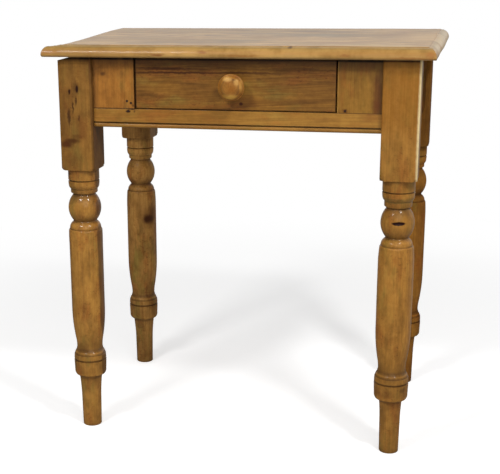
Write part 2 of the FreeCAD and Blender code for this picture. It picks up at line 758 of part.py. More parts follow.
def make_drawer_side(label, side):
    """Drawer side: three lap tails at the front, two through tails at the back, grooved inside."""
    board = make_body(label)
    lift = inner_plane(side, "dims.side_thickness")
    foot, root = f"{RAIL_TOP} + dims.drawer_slide_gap", f"-{DRAWER_FRONT_BACK}"
    plank = make_sketch(board, "plank", "YZ_Plane", lift)
    rectangle(plank, root, BACK_FACE, foot, "dims.side_top")
    pad(board, plank, "dims.side_thickness")
    front_end = make_sketch(board, "front_end", "YZ_Plane", lift)
    draw_tails(front_end, FRONT_TAILS, root, FRONT_TAIL_TIP)
    pad(board, front_end, "dims.side_thickness")
    back_end = make_sketch(board, "back_end", "YZ_Plane", lift)
    draw_tails(back_end, BACK_TAILS, BACK_FACE, DRAWER_END)
    rectangle(back_end, BACK_FACE, DRAWER_END, foot, PANEL_HIGH)
    rectangle(back_end, BACK_FACE, DRAWER_END, "dims.back_top", "dims.side_top")
    pad(board, back_end, "dims.side_thickness")
    groove = make_sketch(board, "groove", "YZ_Plane", inner_plane(side, "dims.panel_side_groove"))
    rectangle(groove, PANEL_FRONT, DRAWER_END, PANEL_LOW, PANEL_HIGH)
    pocket(board, groove, "dims.panel_side_groove", along_normal=True)
    return board


def make_drawer_back():
    """Drawer back, standing on the bottom, its ends socketed for the tails of the sides."""
    back = make_body("drawer_back")
    board = make_sketch(back, "board", "XZ_Plane", f"-{DRAWER_END}")
    rectangle(board, f"-{DRAWER_SIDE}", DRAWER_SIDE, PANEL_HIGH, "dims.back_top")
    pad(back, board, "dims.side_thickness")
    cut_sockets(back, BACK_TAILS, BACK_FACE, DRAWER_END)
    return back


def make_drawer_bottom():
    """Drawer bottom, held in the grooves of front and sides and run out under the back."""
    bottom = make_body("drawer_bottom")
    board = make_sketch(bottom, "board", "XY_Plane", PANEL_LOW)
    half = f"({DRAWER_INNER} + dims.panel_side_groove)"
    rectangle(board, f"-{half}", half, PANEL_FRONT, f"{DRAWER_END} + dims.panel_tail")
    pad(bottom, board, "dims.panel_thickness")
    return bottom


def make_knob():
    """Turned knob with a waist, a wide rim and a bevelled face; a spigot holds it."""
    knob = make_body("drawer_knob")
    profile = make_sketch(knob, "profile", "XZ_Plane")
    spigot = [
        ("0", "-dims.front_thickness"),
        ("dims.spigot_radius", "-dims.front_thickness"),
        ("dims.spigot_radius", "0"),
    ]
    outline(profile, spigot + stations("knob", KNOB), on_lathe=True)
    turn_on_lathe(knob, profile)
    place(knob, "0", f"-{DRAWER_FACE}", KNOB_HEIGHT, Turn(X_AXIS, 90))
    return knob


drawer = [
    make_drawer_front(),
    *[make_drawer_side(f"drawer_side_{name}", side) for name, side in SIDES],
    make_drawer_back(),
    make_drawer_bottom(),
    make_knob(),
]

# ---------------------------------------------------------------- check and export
NODES = [
    *legs, *side_aprons, back_apron, front_bottom_rail, *stiles, *runners, *guides, drawer_stops,
    *top_boards, glue_blocks, *drawer,
]


def check_document():
    """Stop if any object failed, or if any piece isn't a sound solid."""
    doc.recompute()
    failed = [item.Label for item in doc.Objects if {"Invalid", "Error"} & set(item.State)]
    if failed:
        raise RuntimeError(f"failed: {failed}")
    for piece in NODES:
        shape = piece.Shape
        if shape.isNull() or not shape.isValid() or not shape.Solids:
            raise RuntimeError(f"{piece.Label} is not a sound solid")


def export_nodes():
    os.makedirs("parts", exist_ok=True)
    for piece in NODES:
        piece.Shape.exportStep(f"parts/{piece.Label}.step")
        print(f"{piece.Label}: {len(piece.Shape.Solids)} solid(s), {piece.Shape.Volume / 1000:.1f} cm3")


check_document()
export_nodes()
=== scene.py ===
# %% [markdown]
# A small country table in old waxed pine, with one drawer and four turned legs.
# The joiner's solids come in as a fixed frame that nothing here moves, and the visible
# pieces are either those solids with a finish on them or finer pieces that stand for them.

# %% The frame and the tools
import math
from functools import partial

import bmesh
import bpy
from mathutils import Euler, Matrix, Vector, noise


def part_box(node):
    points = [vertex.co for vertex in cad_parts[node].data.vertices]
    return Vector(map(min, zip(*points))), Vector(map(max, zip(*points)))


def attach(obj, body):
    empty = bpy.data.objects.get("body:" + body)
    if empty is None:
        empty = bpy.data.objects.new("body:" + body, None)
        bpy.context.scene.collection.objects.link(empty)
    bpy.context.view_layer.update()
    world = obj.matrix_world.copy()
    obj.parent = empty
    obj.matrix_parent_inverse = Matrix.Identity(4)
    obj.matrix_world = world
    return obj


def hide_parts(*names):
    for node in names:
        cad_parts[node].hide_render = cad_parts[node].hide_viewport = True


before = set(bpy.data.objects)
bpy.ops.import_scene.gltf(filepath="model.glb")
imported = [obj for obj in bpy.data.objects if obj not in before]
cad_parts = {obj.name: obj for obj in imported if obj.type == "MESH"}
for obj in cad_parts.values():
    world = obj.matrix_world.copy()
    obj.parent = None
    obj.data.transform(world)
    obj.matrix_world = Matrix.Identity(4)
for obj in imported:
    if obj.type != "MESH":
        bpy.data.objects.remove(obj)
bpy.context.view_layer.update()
MM = 0.001

# %% [markdown]
# Colours are picked as sRGB hex values, the way a paint chart gives them, but a renderer
# adds light in linear values. One function turns the first into the second. Another adds a
# node of any kind and gives back its output, so that the next node can take it straight in.

# %% Colours and nodes
# kinds that come up again and again, the maths nodes by their operation
PRESETS = {"NOISE": ("ShaderNodeTexNoise", {"noise_dimensions": "4D"}),
           "SMOOTH": ("ShaderNodeMapRange", {"interpolation_type": "SMOOTHSTEP"}),
           "BLEND": ("ShaderNodeMix", {"data_type": "RGBA"})}
for word in ("ADD SUBTRACT MULTIPLY DIVIDE MULTIPLY_ADD POWER ABSOLUTE MINIMUM MAXIMUM FLOOR FRACT "
             "FLOORED_MODULO SINE COSINE LENGTH DOT_PRODUCT").split():
    PRESETS[word] = ("ShaderNodeMath", {"operation": word})
    PRESETS["VECTOR_" + word] = ("ShaderNodeVectorMath", {"operation": word})


def paint(code):
    """Linear colour with alpha from a hex colour such as #A87C42."""
    levels = [int(code[i:i + 2], 16) / 255 for i in (1, 3, 5)]
    return (*[v / 12.92 if v <= 0.04045 else ((v + 0.055) / 1.055) ** 2.4 for v in levels], 1)


def put(tree, kind, inputs=(), give=0, **settings):
    """Adds a node with its settings, and sets or links its inputs, in a list or by name.

    A noise takes its place, seed, scale, detail and roughness; a smooth range takes its value,
    the two ends it comes from and the two it goes to.
    It gives back one of the node's outputs, by name or by place, or all of them for None.
    """
    kind, preset = PRESETS.get(kind, (kind, {}))
    node = tree.nodes.new(kind)
    for name, value in {**preset, **settings}.items():
        setattr(node, name, value)
    for key, value in inputs.items() if isinstance(inputs, dict) else enumerate(inputs):
        if isinstance(value, bpy.types.NodeSocket):
            tree.links.new(value, node.inputs[key])
        else:
            node.inputs[key].default_value = value
    return node.outputs if give is None or not node.outputs else node.outputs[give]


def empty_tree(owner):
    """Turns on the nodes of a material or a world, and clears them."""
    owner.use_nodes = True
    owner.node_tree.nodes.clear()
    return owner.node_tree


print("waxed pine in linear light:", [round(v, 3) for v in paint("#B27F3C")])

# %% [markdown]
# The camera stands a little right of the table and just above its top, far enough away that
# the verticals stay nearly straight. A long lens and a small shift of the film frame do this,
# as a furniture photographer would with a view camera. The numbers are in metres and radians.

# %% Camera
FRAME_WIDE, FRAME_HIGH = 500, 474
FOCAL_PX = 1151.2611
AXIS_PX = (172.9977, 281.1756)
EYE = Vector((0.4195, -2.1772, 0.8971))
YAW, PITCH, ROLL = -0.2642, 0.2814, -0.0152
FILM_WIDE = 36


def show(name, data):
    """A new object in the scene, for a mesh, a lamp or a camera."""
    thing = bpy.data.objects.new(name, data)
    bpy.context.scene.collection.objects.link(thing)
    return thing


level_ahead = Vector((math.sin(YAW), math.cos(YAW), 0))
level_right = Vector((math.cos(YAW), -math.sin(YAW), 0))
ahead = level_ahead * math.cos(PITCH) - Vector((0, 0, 1)) * math.sin(PITCH)
above = Vector((0, 0, 1)) * math.cos(PITCH) + level_ahead * math.sin(PITCH)
right = level_right * math.cos(ROLL) + above * math.sin(ROLL)
upright = above * math.cos(ROLL) - level_right * math.sin(ROLL)

lens = bpy.data.cameras.new("table_camera")
lens.sensor_width = FILM_WIDE
lens.lens = FOCAL_PX / FRAME_WIDE * FILM_WIDE
lens.shift_x = (FRAME_WIDE / 2 - AXIS_PX[0]) / FRAME_WIDE
lens.shift_y = (AXIS_PX[1] - FRAME_HIGH / 2) / FRAME_WIDE
lens.clip_end = 100
camera = show("table_camera", lens)
turn = Matrix((right, upright, -ahead)).transposed()
camera.matrix_world = Matrix.Translation(EYE) @ turn.to_4x4()
bpy.context.scene.camera = camera
print("lens in mm:", round(lens.lens, 1), "shift:", round(lens.shift_x, 3), round(lens.shift_y, 3))

# %% [markdown]
# A turned leg is a square block that the lathe has cut into. At each height the piece is as
# wide as the turner's outline or as the square block, whichever is less, so one rule makes
# the block, the cut corners of the shoulder and all the beads and hollows below.
# The turner worked by eye from one pattern, so each leg has the same members at slightly
# different heights and widths. One function writes the pattern and takes those sizes.
# A station is its height, its radius and how much old wax and dirt sits there; at the top of
# the block, just under the table top, that darkening is painted shade. A fourth number is the
# radius of the curve that leads there, and a minus sign makes that curve hollow.

# %% The turner's outline
TURNED_BELOW = 505
# foot, ankle, cove, shoulder, low neck, high neck, ball, step, ring and foot of the block
LEG_HANDS = {
    "leg_front_left": (18.2, (96, 21.1), (103, 23.2), (391, 31.7), (410.6, 22.0),
                        (461, 21.2), 37.0, 25.1, 29.1, 509.0),
    "leg_front_right": (17.8, (97, 20.3), (102, 21.9), (387, 30.1), (405.8, 20.4),
                        (458.4, 20.7), 40.3, 24.2, 28.4, 509.6),
    "leg_back_left": (18.1, (96, 21.6), (102, 23.0), (390, 30.6), (408.3, 21.4),
                        (461, 21.3), 40.0, 24.6, 28.8, 510.0),
    "leg_back_right": (18.0, (96, 20.7), (102, 22.6), (390, 30.6), (408.0, 21.3),
                        (461, 21.3), 40.3, 24.6, 28.7, 510.0),
}


def leg_outline(foot, ankle, cove, shoulder, low_neck, high_neck, ball, step, ring, block_foot):
    """Stations of one leg from the floor to the top of its block, in millimetres."""
    return [
        (0, 0, 0.6), (0, foot - 1, 0.6), (1.2, foot - 0.2, 0.5), (14, foot, 0.2), (62, foot + 0.8, 0.15),
        (*ankle, 0.35, -420), (*cove, 0.8, -12), (cove[0] + 3.2, 28.0, 0.45), (113, 30.4, 0.25, 10),
        (134.6, 31.2, 0.3), (135.3, 29.5, 1), (138.0, 29.5, 1), (138.7, 31.0, 0.3), (146.8, 30.5, 0.2),
        (147.6, 29.5, 0.9), (150.6, 28.9, 0.5), (154, 26.6, 0.6, 6), (158, 25.6, 0.9),
        (163, 24.7, 0.45, -12), (177, 25.9, 0.12, -85), (240, 31.6, 0, 345), (366, 31.7, 0),
        (*shoulder, 0.1, 420), (shoulder[0] + 3.6, shoulder[1] - 1.2, 0.2, 7),
        (shoulder[0] + 4.4, shoulder[1] - 2.4, 0.9), (shoulder[0] + 6.4, shoulder[1] - 2.2, 0.3),
        (low_neck[0] - 2.4, low_neck[1] + 1.7, 0.5, 15), (*low_neck, 1, -4),
        (low_neck[0] + 1.2, low_neck[1] + 0.3, 1), (high_neck[0] - 1.2, high_neck[1] + 0.3, 0.7, ball),
        (*high_neck, 1), (high_neck[0] + 2.4, high_neck[1] + 0.6, 0.9), (high_neck[0] + 4, step, 0.3, 2.5),
        (470.6, step + 0.1, 0.3), (471.2, step, 0.9), (476.4, ring - 0.8, 0.3, 12), (486.2, ring, 0.1, 60),
        (486.9, ring - 1.5, 1), (488.5, ring - 1.5, 1), (489.2, ring, 0.2), (block_foot - 0.5, ring, 0.35),
        (block_foot, ring, 1), (block_foot, 39.5, 0.2), (block_foot + 7.5, 47, 0.1), (700, 47, 0.15),
        (715, 47, 0.9), (715, 0, 0.5)]


def turned_rows(outline, longest, curve_step):
    """The outline as close points of height, radius and dirt, with its curves rounded."""
    rows = [outline[0][:3]]
    for (z0, r0, d0, *_), (z1, r1, d1, curve) in zip(outline, [(*row, None)[:4] for row in outline[1:]]):
        start, end = Vector((z0, r0)), Vector((z1, r1))
        chord = end - start
        if curve is None:
            steps = max(1, math.ceil(chord.length / longest))
            points = [start.lerp(end, i / steps) for i in range(1, steps + 1)]
        else:
            reach = abs(curve)
            outward = Vector((-chord.y, chord.x)).normalized() * math.copysign(1, curve)
            deep = math.sqrt(max(reach ** 2 - (chord.length / 2) ** 2, 0))
            centre = (start + end) / 2 - outward * deep
            first = start - centre
            sweep = first.angle_signed(end - centre)
            steps = max(3, math.ceil(abs(sweep) * reach / curve_step))
            points = []
            for i in range(1, steps + 1):
                a = -sweep * i / steps
                points.append(centre + Vector((
                    first.x * math.cos(a) - first.y * math.sin(a),
                    first.x * math.sin(a) + first.y * math.cos(a))))
        middle = 0 if curve is None or curve < 0 else 0.9
        for i, point in enumerate(points, 1):
            t = i / len(points)
            dirt = (d0 + (d1 - d0) * t) * (1 - middle * math.sin(math.pi * t))
            rows.append((point.x, point.y, dirt))
    return rows


leg_rows = {name: turned_rows(leg_outline(*hand), 9, 1.8) for name, hand in LEG_HANDS.items()}
for name, rows in leg_rows.items():
    widest = max(r for z, r, _ in rows if z < TURNED_BELOW)
    print(name, "rows:", len(rows), "widest turning in mm:", round(widest, 2))

# %% [markdown]
# Geometry Nodes can be the lathe: a flat grid has one row of points for each point of the
# outline and one column for each turn step, and each point is then moved to where the rule
# puts it. The turn steps crowd towards the block's corners, where the shape changes fastest.
# A little noise takes the edges in, because nothing on an old hand-turned leg is perfect.
# Every group ends with real geometry and its material, because an export drops instances.

# %% The lathe tree
CROWDING = 0.19
LUMPS_PER_METRE = 38.0
SHARP_FOLD = math.radians(38)


def geometry_group(name, inputs):
    """A Geometry Nodes group that gives geometry and takes the named inputs of those kinds."""
    tree = bpy.data.node_groups.new(name, "GeometryNodeTree")
    tree.interface.new_socket("Geometry", in_out="OUTPUT", socket_type="NodeSocketGeometry")
    for label, kind in inputs.items():
        tree.interface.new_socket(label, in_out="INPUT", socket_type=f"NodeSocket{kind}")
    return tree


def end_group(tree, shape, finish):
    """Ends a group with real geometry in its finish."""
    real = put(tree, "GeometryNodeRealizeInstances", [shape])
    dressed = put(tree, "GeometryNodeSetMaterial", {"Geometry": real, "Material": finish})
    put(tree, "NodeGroupOutput", [dressed])


def lathe_tree():
    """Node group: turns the outline kept in the input mesh and squares it to a block."""
    tree = geometry_group("lathe", {
        "Outline": "Geometry", "Turn steps": "Int", "Block half": "Float", "Corner sharpness": "Float",
        "Wear": "Float", "Seed": "Float", "Place": "Vector", "Lean": "Vector", "Finish": "Material"})
    add = partial(put, tree)

    # which station of the outline and which turn step each point of the grid stands for
    given = add("NodeGroupInput", give=None)
    rows = add("GeometryNodeAttributeDomainSize", [given["Outline"]], "Point Count")
    columns = add("ADD", [given["Turn steps"], 1.0])
    grid = add("GeometryNodeMeshGrid", {"Vertices X": columns, "Vertices Y": rows})
    index = add("GeometryNodeInputIndex")
    row = add("FLOORED_MODULO", [index, rows])
    column = add("FLOOR", [add("DIVIDE", [index, rows])])
    place = add("GeometryNodeInputPosition")
    dirt_here = add("GeometryNodeInputNamedAttribute", {"Name": "grime"}, data_type="FLOAT")
    station, dirt = [add("GeometryNodeSampleIndex", {
        "Geometry": given["Outline"], "Value": value, "Index": row}, data_type=kind)
                     for value, kind in ((place, "FLOAT_VECTOR"), (dirt_here, "FLOAT"))]
    turned_radius, _, height = add("ShaderNodeSeparateXYZ", [station], None)

    # the angle of each column, crowded towards the four corners
    part = add("DIVIDE", [column, given["Turn steps"]])
    even = add("MULTIPLY", [part, math.tau])
    wave = add("SINE", [add("MULTIPLY", [even, 4.0])])
    crowding = add("MULTIPLY", [wave, CROWDING])
    angle = add("ADD", [even, crowding])

    # the lesser of the turned radius and the square block's, whose corners a high power sharpens
    sides = [add(kind, [angle]) for kind in ("COSINE", "SINE")]
    powers = [add("POWER", [add("ABSOLUTE", [side]), given["Corner sharpness"]]) for side in sides]
    total = add("ADD", powers)
    inverse = add("DIVIDE", [1.0, given["Corner sharpness"]])
    root = add("POWER", [total, inverse])
    squared_radius = add("DIVIDE", [given["Block half"], root])
    radius = add("MINIMUM", [turned_radius, squared_radius])
    out_x, out_y = [add("MULTIPLY", [side, radius]) for side in sides]
    fresh = add("ShaderNodeCombineXYZ", [out_x, out_y, height])

    # wear, which only takes away
    stretched = add("VECTOR_MULTIPLY", [fresh, (1, 1, 0.45)])
    bumps = add("NOISE", [stretched, given["Seed"], LUMPS_PER_METRE])
    lost = add("MULTIPLY", [bumps, given["Wear"]])
    kept = add("SUBTRACT", [1.0, lost])
    inwards = add("ShaderNodeCombineXYZ", [kept, kept, 1.0])
    shape = add("VECTOR_MULTIPLY", [fresh, inwards])

    # a closed skin, smooth but for its sharp folds, set on its place
    turned = add("GeometryNodeSetPosition", {"Geometry": grid, "Position": shape})
    named = add("GeometryNodeStoreNamedAttribute", {
        "Geometry": turned, "Name": "grime", "Value": dirt}, data_type="FLOAT", domain="POINT")
    closed = add("GeometryNodeMergeByDistance", {"Geometry": named, "Distance": 1e-6})
    fold = add("GeometryNodeInputMeshEdgeAngle")
    hard = add("FunctionNodeCompare", [fold, SHARP_FOLD], data_type="FLOAT", operation="GREATER_THAN")
    soft = add("GeometryNodeSetShadeSmooth", {"Geometry": closed, "Shade Smooth": True}, domain="FACE")
    creased = add("GeometryNodeSetShadeSmooth", {
        "Geometry": soft, "Selection": hard, "Shade Smooth": False}, domain="EDGE")
    moved = add("GeometryNodeTransform", {
        "Geometry": creased, "Translation": given["Place"], "Rotation": given["Lean"]})
    end_group(tree, moved, given["Finish"])
    return tree


def plain_mesh(name, source, tree, values):
    """Runs a node group on a mesh with those inputs and returns the result as a plain object."""
    holder = show(name, source)
    modifier = holder.modifiers.new("nodes", "NODES")
    modifier.node_group = tree
    sockets = {s.name: s.identifier for s in tree.interface.items_tree if s.in_out == "INPUT"}
    for label, value in values.items():
        modifier[sockets[label]] = value
    bpy.context.view_layer.update()
    evaluated = holder.evaluated_get(bpy.context.evaluated_depsgraph_get())
    result = bpy.data.meshes.new_from_object(evaluated)
    result.name = name
    bpy.data.objects.remove(holder)
    tidy = bmesh.new()
    tidy.from_mesh(result)
    bmesh.ops.dissolve_degenerate(tidy, dist=1e-7, edges=tidy.edges[:])
    bmesh.ops.recalc_face_normals(tidy, faces=tidy.faces[:])
    tidy.to_mesh(result)
    tidy.free()
    return show(name, result)


def outline_mesh(name, rows):
    """The outline as a chain of points, radius along X and height along Z, with its dirt."""
    mesh = bpy.data.meshes.new(name)
    points = [(r * MM, 0, z * MM) for z, r, _ in rows]
    mesh.from_pydata(points, [(i, i + 1) for i in range(len(points) - 1)], [])
    mesh.attributes.new("grime", "FLOAT", "POINT").data.foreach_set("value", [d for _, _, d in rows])
    return mesh


lathe = lathe_tree()
print("nodes in the lathe:", len(lathe.nodes))

# %% [markdown]
# Old pine, planed or turned by hand, then waxed for a century. Each yearly ring is a wide
# pale band that ends in a thin dark line, and a board shows the rings as they pass through it:
# close lines where the cut runs across them, wide flames where it runs along.
# The finish works this out in depth: the distance from the heart of the tree gives the ring,
# slow noise makes the rings wander, and a knot pulls the rings round itself.
# Real rings are 2 to 4 mm wide; here they are up to 9 mm, as coarse as they need to be to show.

# %% Rings and noise of the log
TURN = {"X": Euler((0, -math.pi / 2, 0)), "Y": Euler((math.pi / 2, 0, 0)), "Z": Euler((0, 0, 0))}
# how far each cloud of noise is drawn out along the log, how many there are in a metre across
# it, its detail and its roughness
CLOUDS = {
    "wander": (0.16, 13.0, 2.0, 0.5), "fibres": (0.03, 420.0, 2.0, 0.65), "streaks": (0.05, 85.0, 2.0, 0.5),
    "blotch": (0.45, 11.0, 3.0, 0.6), "tints": (0.4, 36.0, 3.0, 0.6), "dapple": (0.7, 95.0, 3.0, 0.7),
}
RING_WANDER = 0.028
RING_RAMP = ((0.0, 0.0), (0.45, 0.16), (0.8, 0.75), (0.9, 1.0), (1.0, 0.05))


def log_clouds(tree, log, seed):
    """All the clouds of noise in a log: the outputs of each, the first a level, the second a colour."""
    clouds = {}
    for label, (length, scale, detail, roughness) in CLOUDS.items():
        drawn_out = put(tree, "VECTOR_MULTIPLY", [log, (1, 1, length)])
        clouds[label] = put(tree, "NOISE", [drawn_out, seed, scale, detail, roughness], None)
    return clouds


def yearly_rings(tree, log, slow, swirl, rings_per_metre):
    """How dark the wood is by its place in the year's ring, from 0 to 1 at the thin late line."""
    add = partial(put, tree)
    centred = add("VECTOR_SUBTRACT", [slow, (0.5, 0.5, 0.5)])
    wander = add("VECTOR_MULTIPLY", [centred, (RING_WANDER, RING_WANDER, 0)])
    bent = add("VECTOR_ADD", [log, wander])
    across = add("VECTOR_MULTIPLY", [bent, (1, 1, 0)])
    depth = add("VECTOR_LENGTH", [across], "Value")
    years = add("MULTIPLY", [depth, rings_per_metre])
    years = add("MULTIPLY_ADD", [swirl, -2.0, years])
    slower = add("MULTIPLY", [years, 0.31])
    uneven = add("ShaderNodeTexNoise", {"W": slower, "Scale": 1.0, "Detail": 1.0}, noise_dimensions="1D")
    season = add("FRACT", [add("MULTIPLY_ADD", [uneven, 1.6, years])])
    ringed = add("ShaderNodeValToRGB", [season])
    # a new ramp has its two ends already
    ramp = ringed.node.color_ramp.elements
    for position, level in RING_RAMP:
        step = {0.0: ramp[0], 1.0: ramp[-1]}.get(position) or ramp.new(position)
        step.color = (level, level, level, 1)
    return ringed


print("rings and clouds of the log:", len(RING_RAMP), len(CLOUDS))

# %% [markdown]
# The colour of old wood is a stack of thin coats: the ripe parts of the wood, old wax that
# has gone olive in one place and russet in another, ring lines, streaks, fibres, dirt. Each
# coat is how much of it shows, its colour and how it blends, and one loop lays them all.
# Knots and stains are coats too, and so are a few painted highlights and painted shades. Each
# is an oval whose rim noise has shaken.

# %% Coats, knots, stains and painted light
# the third colour is the dark of old dirt, and also of painted shade
OLIVE, RUSSET, DIRT_AND_SHADE, KNOT, PIT = "#76672B", "#8C4C1A", "#3A220E", "#2C1509", "#4A2A10"
SOFT_SHAKE, CRISP_SHAKE = 0.006, 0.002


def lay_coats(tree, colour, coats):
    """Lays coats over a colour, each a share, a colour and a blend type."""
    for share, coat, blend in coats:
        colour = put(tree, "BLEND", {0: share, 6: colour, 7: coat}, 2, blend_type=blend)
    return colour


def mark_coats(tree, here, seed, marks):
    """Coats for knots, stains, painted highlights and painted shade, and how far the wood round the knots
    swirls.
    """
    add = partial(put, tree)
    shaken = add("NOISE", [here, seed, 120.0], "Color")
    shaken = add("VECTOR_SUBTRACT", [shaken, (0.5, 0.5, 0.5)])
    coats, swirl = [], 0.0
    # a mark that names no colour is a knot
    for *oval, strength, colour in [(*mark, KNOT)[:8] for mark in marks]:
        shake = SOFT_SHAKE if strength <= 1 else CRISP_SHAKE
        moved = add("VECTOR_MULTIPLY_ADD", [shaken, (shake, shake, shake), here])
        within = add("ShaderNodeMapping", {
            "Vector": moved, "Location": Vector(oval[:3]) * MM, "Scale": Vector(oval[3:]) * MM},
                     vector_type="TEXTURE")
        reach = add("VECTOR_LENGTH", [within], "Value")
        share = add("SMOOTH", [reach, 1.45, 0.35, 0, strength])
        coats.append((share, paint(colour), "MIX"))
        if 0.6 < strength <= 1:
            swirl = add("MAXIMUM", [swirl, add("SMOOTH", [reach, 5.0, 0.3])])
    return coats, swirl


print("old wax in linear light:", [round(v, 3) for v in paint(OLIVE)], [round(v, 3) for v in paint(RUSSET)])

# %% [markdown]
# The wood itself comes first, with the wax that has sunk into it. A moulded edge is handled
# and waxed more than a flat that is scrubbed, so it has two colours of its own.

# %% Coats of the wood and of its edge
FIBRE_TINTS = (0.76, 0.74, 0.7, 1), (1.24, 1.22, 1.2, 1)
DAPPLE_TINTS = (0.8, 0.76, 0.7, 1), (1.14, 1.15, 1.18, 1)


def wood_colour(tree, clouds, tints, ringed, pale, ripe, line, rings, mottle, grain):
    """Ripe parts, old wax in three tints, ring lines, streaks, fibres and dapples on pale wood."""
    add = partial(put, tree)
    streaks = clouds["streaks"][0]
    coats = [(add("SMOOTH", [clouds["blotch"][0], 0.36, 0.66]), paint(ripe), "MIX")]
    for level, tint, share in zip(tints, (OLIVE, RUSSET, DIRT_AND_SHADE), (mottle, mottle, mottle * 0.6)):
        coats.append((add("SMOOTH", [level, 0.5, 0.72, 0, share]), paint(tint), "MIX"))
    strong = add("SMOOTH", [streaks, 0.2, 0.8, 0.35 * rings, 1.1 * rings])
    coats.append((add("MULTIPLY", [ringed, strong]), paint(line), "MIX"))
    coats.append((add("SMOOTH", [streaks, 0.52, 0.8, 0, 0.35]), paint(line), "MIX"))
    for label, low, high, (dark, light), share in (
            ("fibres", 0.25, 0.75, FIBRE_TINTS, grain),
            ("dapple", 0.32, 0.68, DAPPLE_TINTS, min(mottle * 1.3, 1))):
        level = add("SMOOTH", [clouds[label][0], low, high])
        coats.append((share, add("BLEND", {0: level, 6: dark, 7: light}, 2), "MULTIPLY"))
    return lay_coats(tree, paint(pale), coats)


def edge_coat(tree, here, seed, wood, on_edge, edge):
    """The coat of a moulded edge: two colours in patches, with the grain of the wood in them."""
    patches = put(tree, "NOISE", [here, seed, 30.0, 3.0, 0.65])
    patches = put(tree, "SMOOTH", [patches, 0.4, 0.68])
    coats = [(patches, paint(edge[1]), "MIX"), (0.5, wood, "SOFT_LIGHT")]
    return on_edge, lay_coats(tree, paint(edge[0]), coats), "MIX"


print("fibres darken the wood to", FIBRE_TINTS[0][0], "and lighten it to", FIBRE_TINTS[1][0])

# %% [markdown]
# Then comes what time has added: small dark pits, dirt in the hollows, and lines worn or
# soiled along an edge. With them comes painted shade: ends of a piece made darker, most of all
# under the top and beside the legs, and painted shadow lines under the top. The streaks make
# all of it ragged along the grain.

# %% Coats of age and painted shade
RAGGED = 0.006
# the share of the wood that dirt and painted shade hide at most
DIRT_AND_SHADE_SHARE = 0.85


def pit_coat(tree, here, seed, crowd, specks):
    """Small dark pits, in crowds."""
    squat = put(tree, "VECTOR_MULTIPLY", [here, (1, 1, 1.6)])
    pits = put(tree, "NOISE", [squat, seed, 190.0, 3.0, 0.7])
    pits = put(tree, "SMOOTH", [pits, 0.53, 0.68])
    crowded = put(tree, "SMOOTH", [crowd, 0.42, 0.6, 0, specks])
    return put(tree, "MULTIPLY", [pits, crowded]), paint(PIT), "MIX"


def dirt_and_shade_level(tree, axes, clouds, shade):
    """How much dirt and painted shade there is: dirt in patches where the piece's own attribute says, with
    some painted shade in it, and darkening at the ends that shade names, most of it painted shade.
    """
    add = partial(put, tree)
    grime = add("ShaderNodeAttribute", give="Fac", attribute_name="grime")
    patchy = add("SMOOTH", [clouds["blotch"][0], 0.25, 0.7, 0.6])
    grime = add("MULTIPLY", [grime, patchy])
    for axis, low, high, strength in shade:
        ragged = add("MULTIPLY_ADD", [clouds["streaks"][0], RAGGED, axes[axis]])
        dark = add("SMOOTH", [ragged, low * MM, high * MM, 0, strength])
        grime = add("MAXIMUM", [grime, dark])
    return grime


def band_coats(tree, axes, streaks, bands):
    """Coats for lines across the whole piece: soiled and worn lines, dark joints, painted shadow lines
    under the top and painted highlights.
    """
    add = partial(put, tree)
    worn = add("SMOOTH", [streaks, 0.2, 0.6, 0.6])
    coats = []
    for axis, place, half, strength, colour in bands:
        gap = add("ABSOLUTE", [add("SUBTRACT", [axes[axis], place * MM])])
        near = add("SMOOTH", [gap, half * MM * 1.3, half * MM * 0.5, 0, strength])
        coats.append((add("MULTIPLY", [near, worn]), paint(colour), "MIX"))
    return coats


# the share printed here covers painted shade as well as dirt
print("dirt hides at most", DIRT_AND_SHADE_SHARE, "of the wood, with edges ragged by", RAGGED / MM, "mm")

# %% [markdown]
# Wax rubbed on by hand is a thin coat, so the gloss is low and broad and the wood under it is
# rough. The fibres roughen it a little more, and dirt in the hollows and the painted shade dull it.
# The bump is well under a millimetre: the late lines and the fibres stand up from the softer wood.

# %% Old waxed pine
RELIEF = 0.0006
WAX_IOR = 1.42


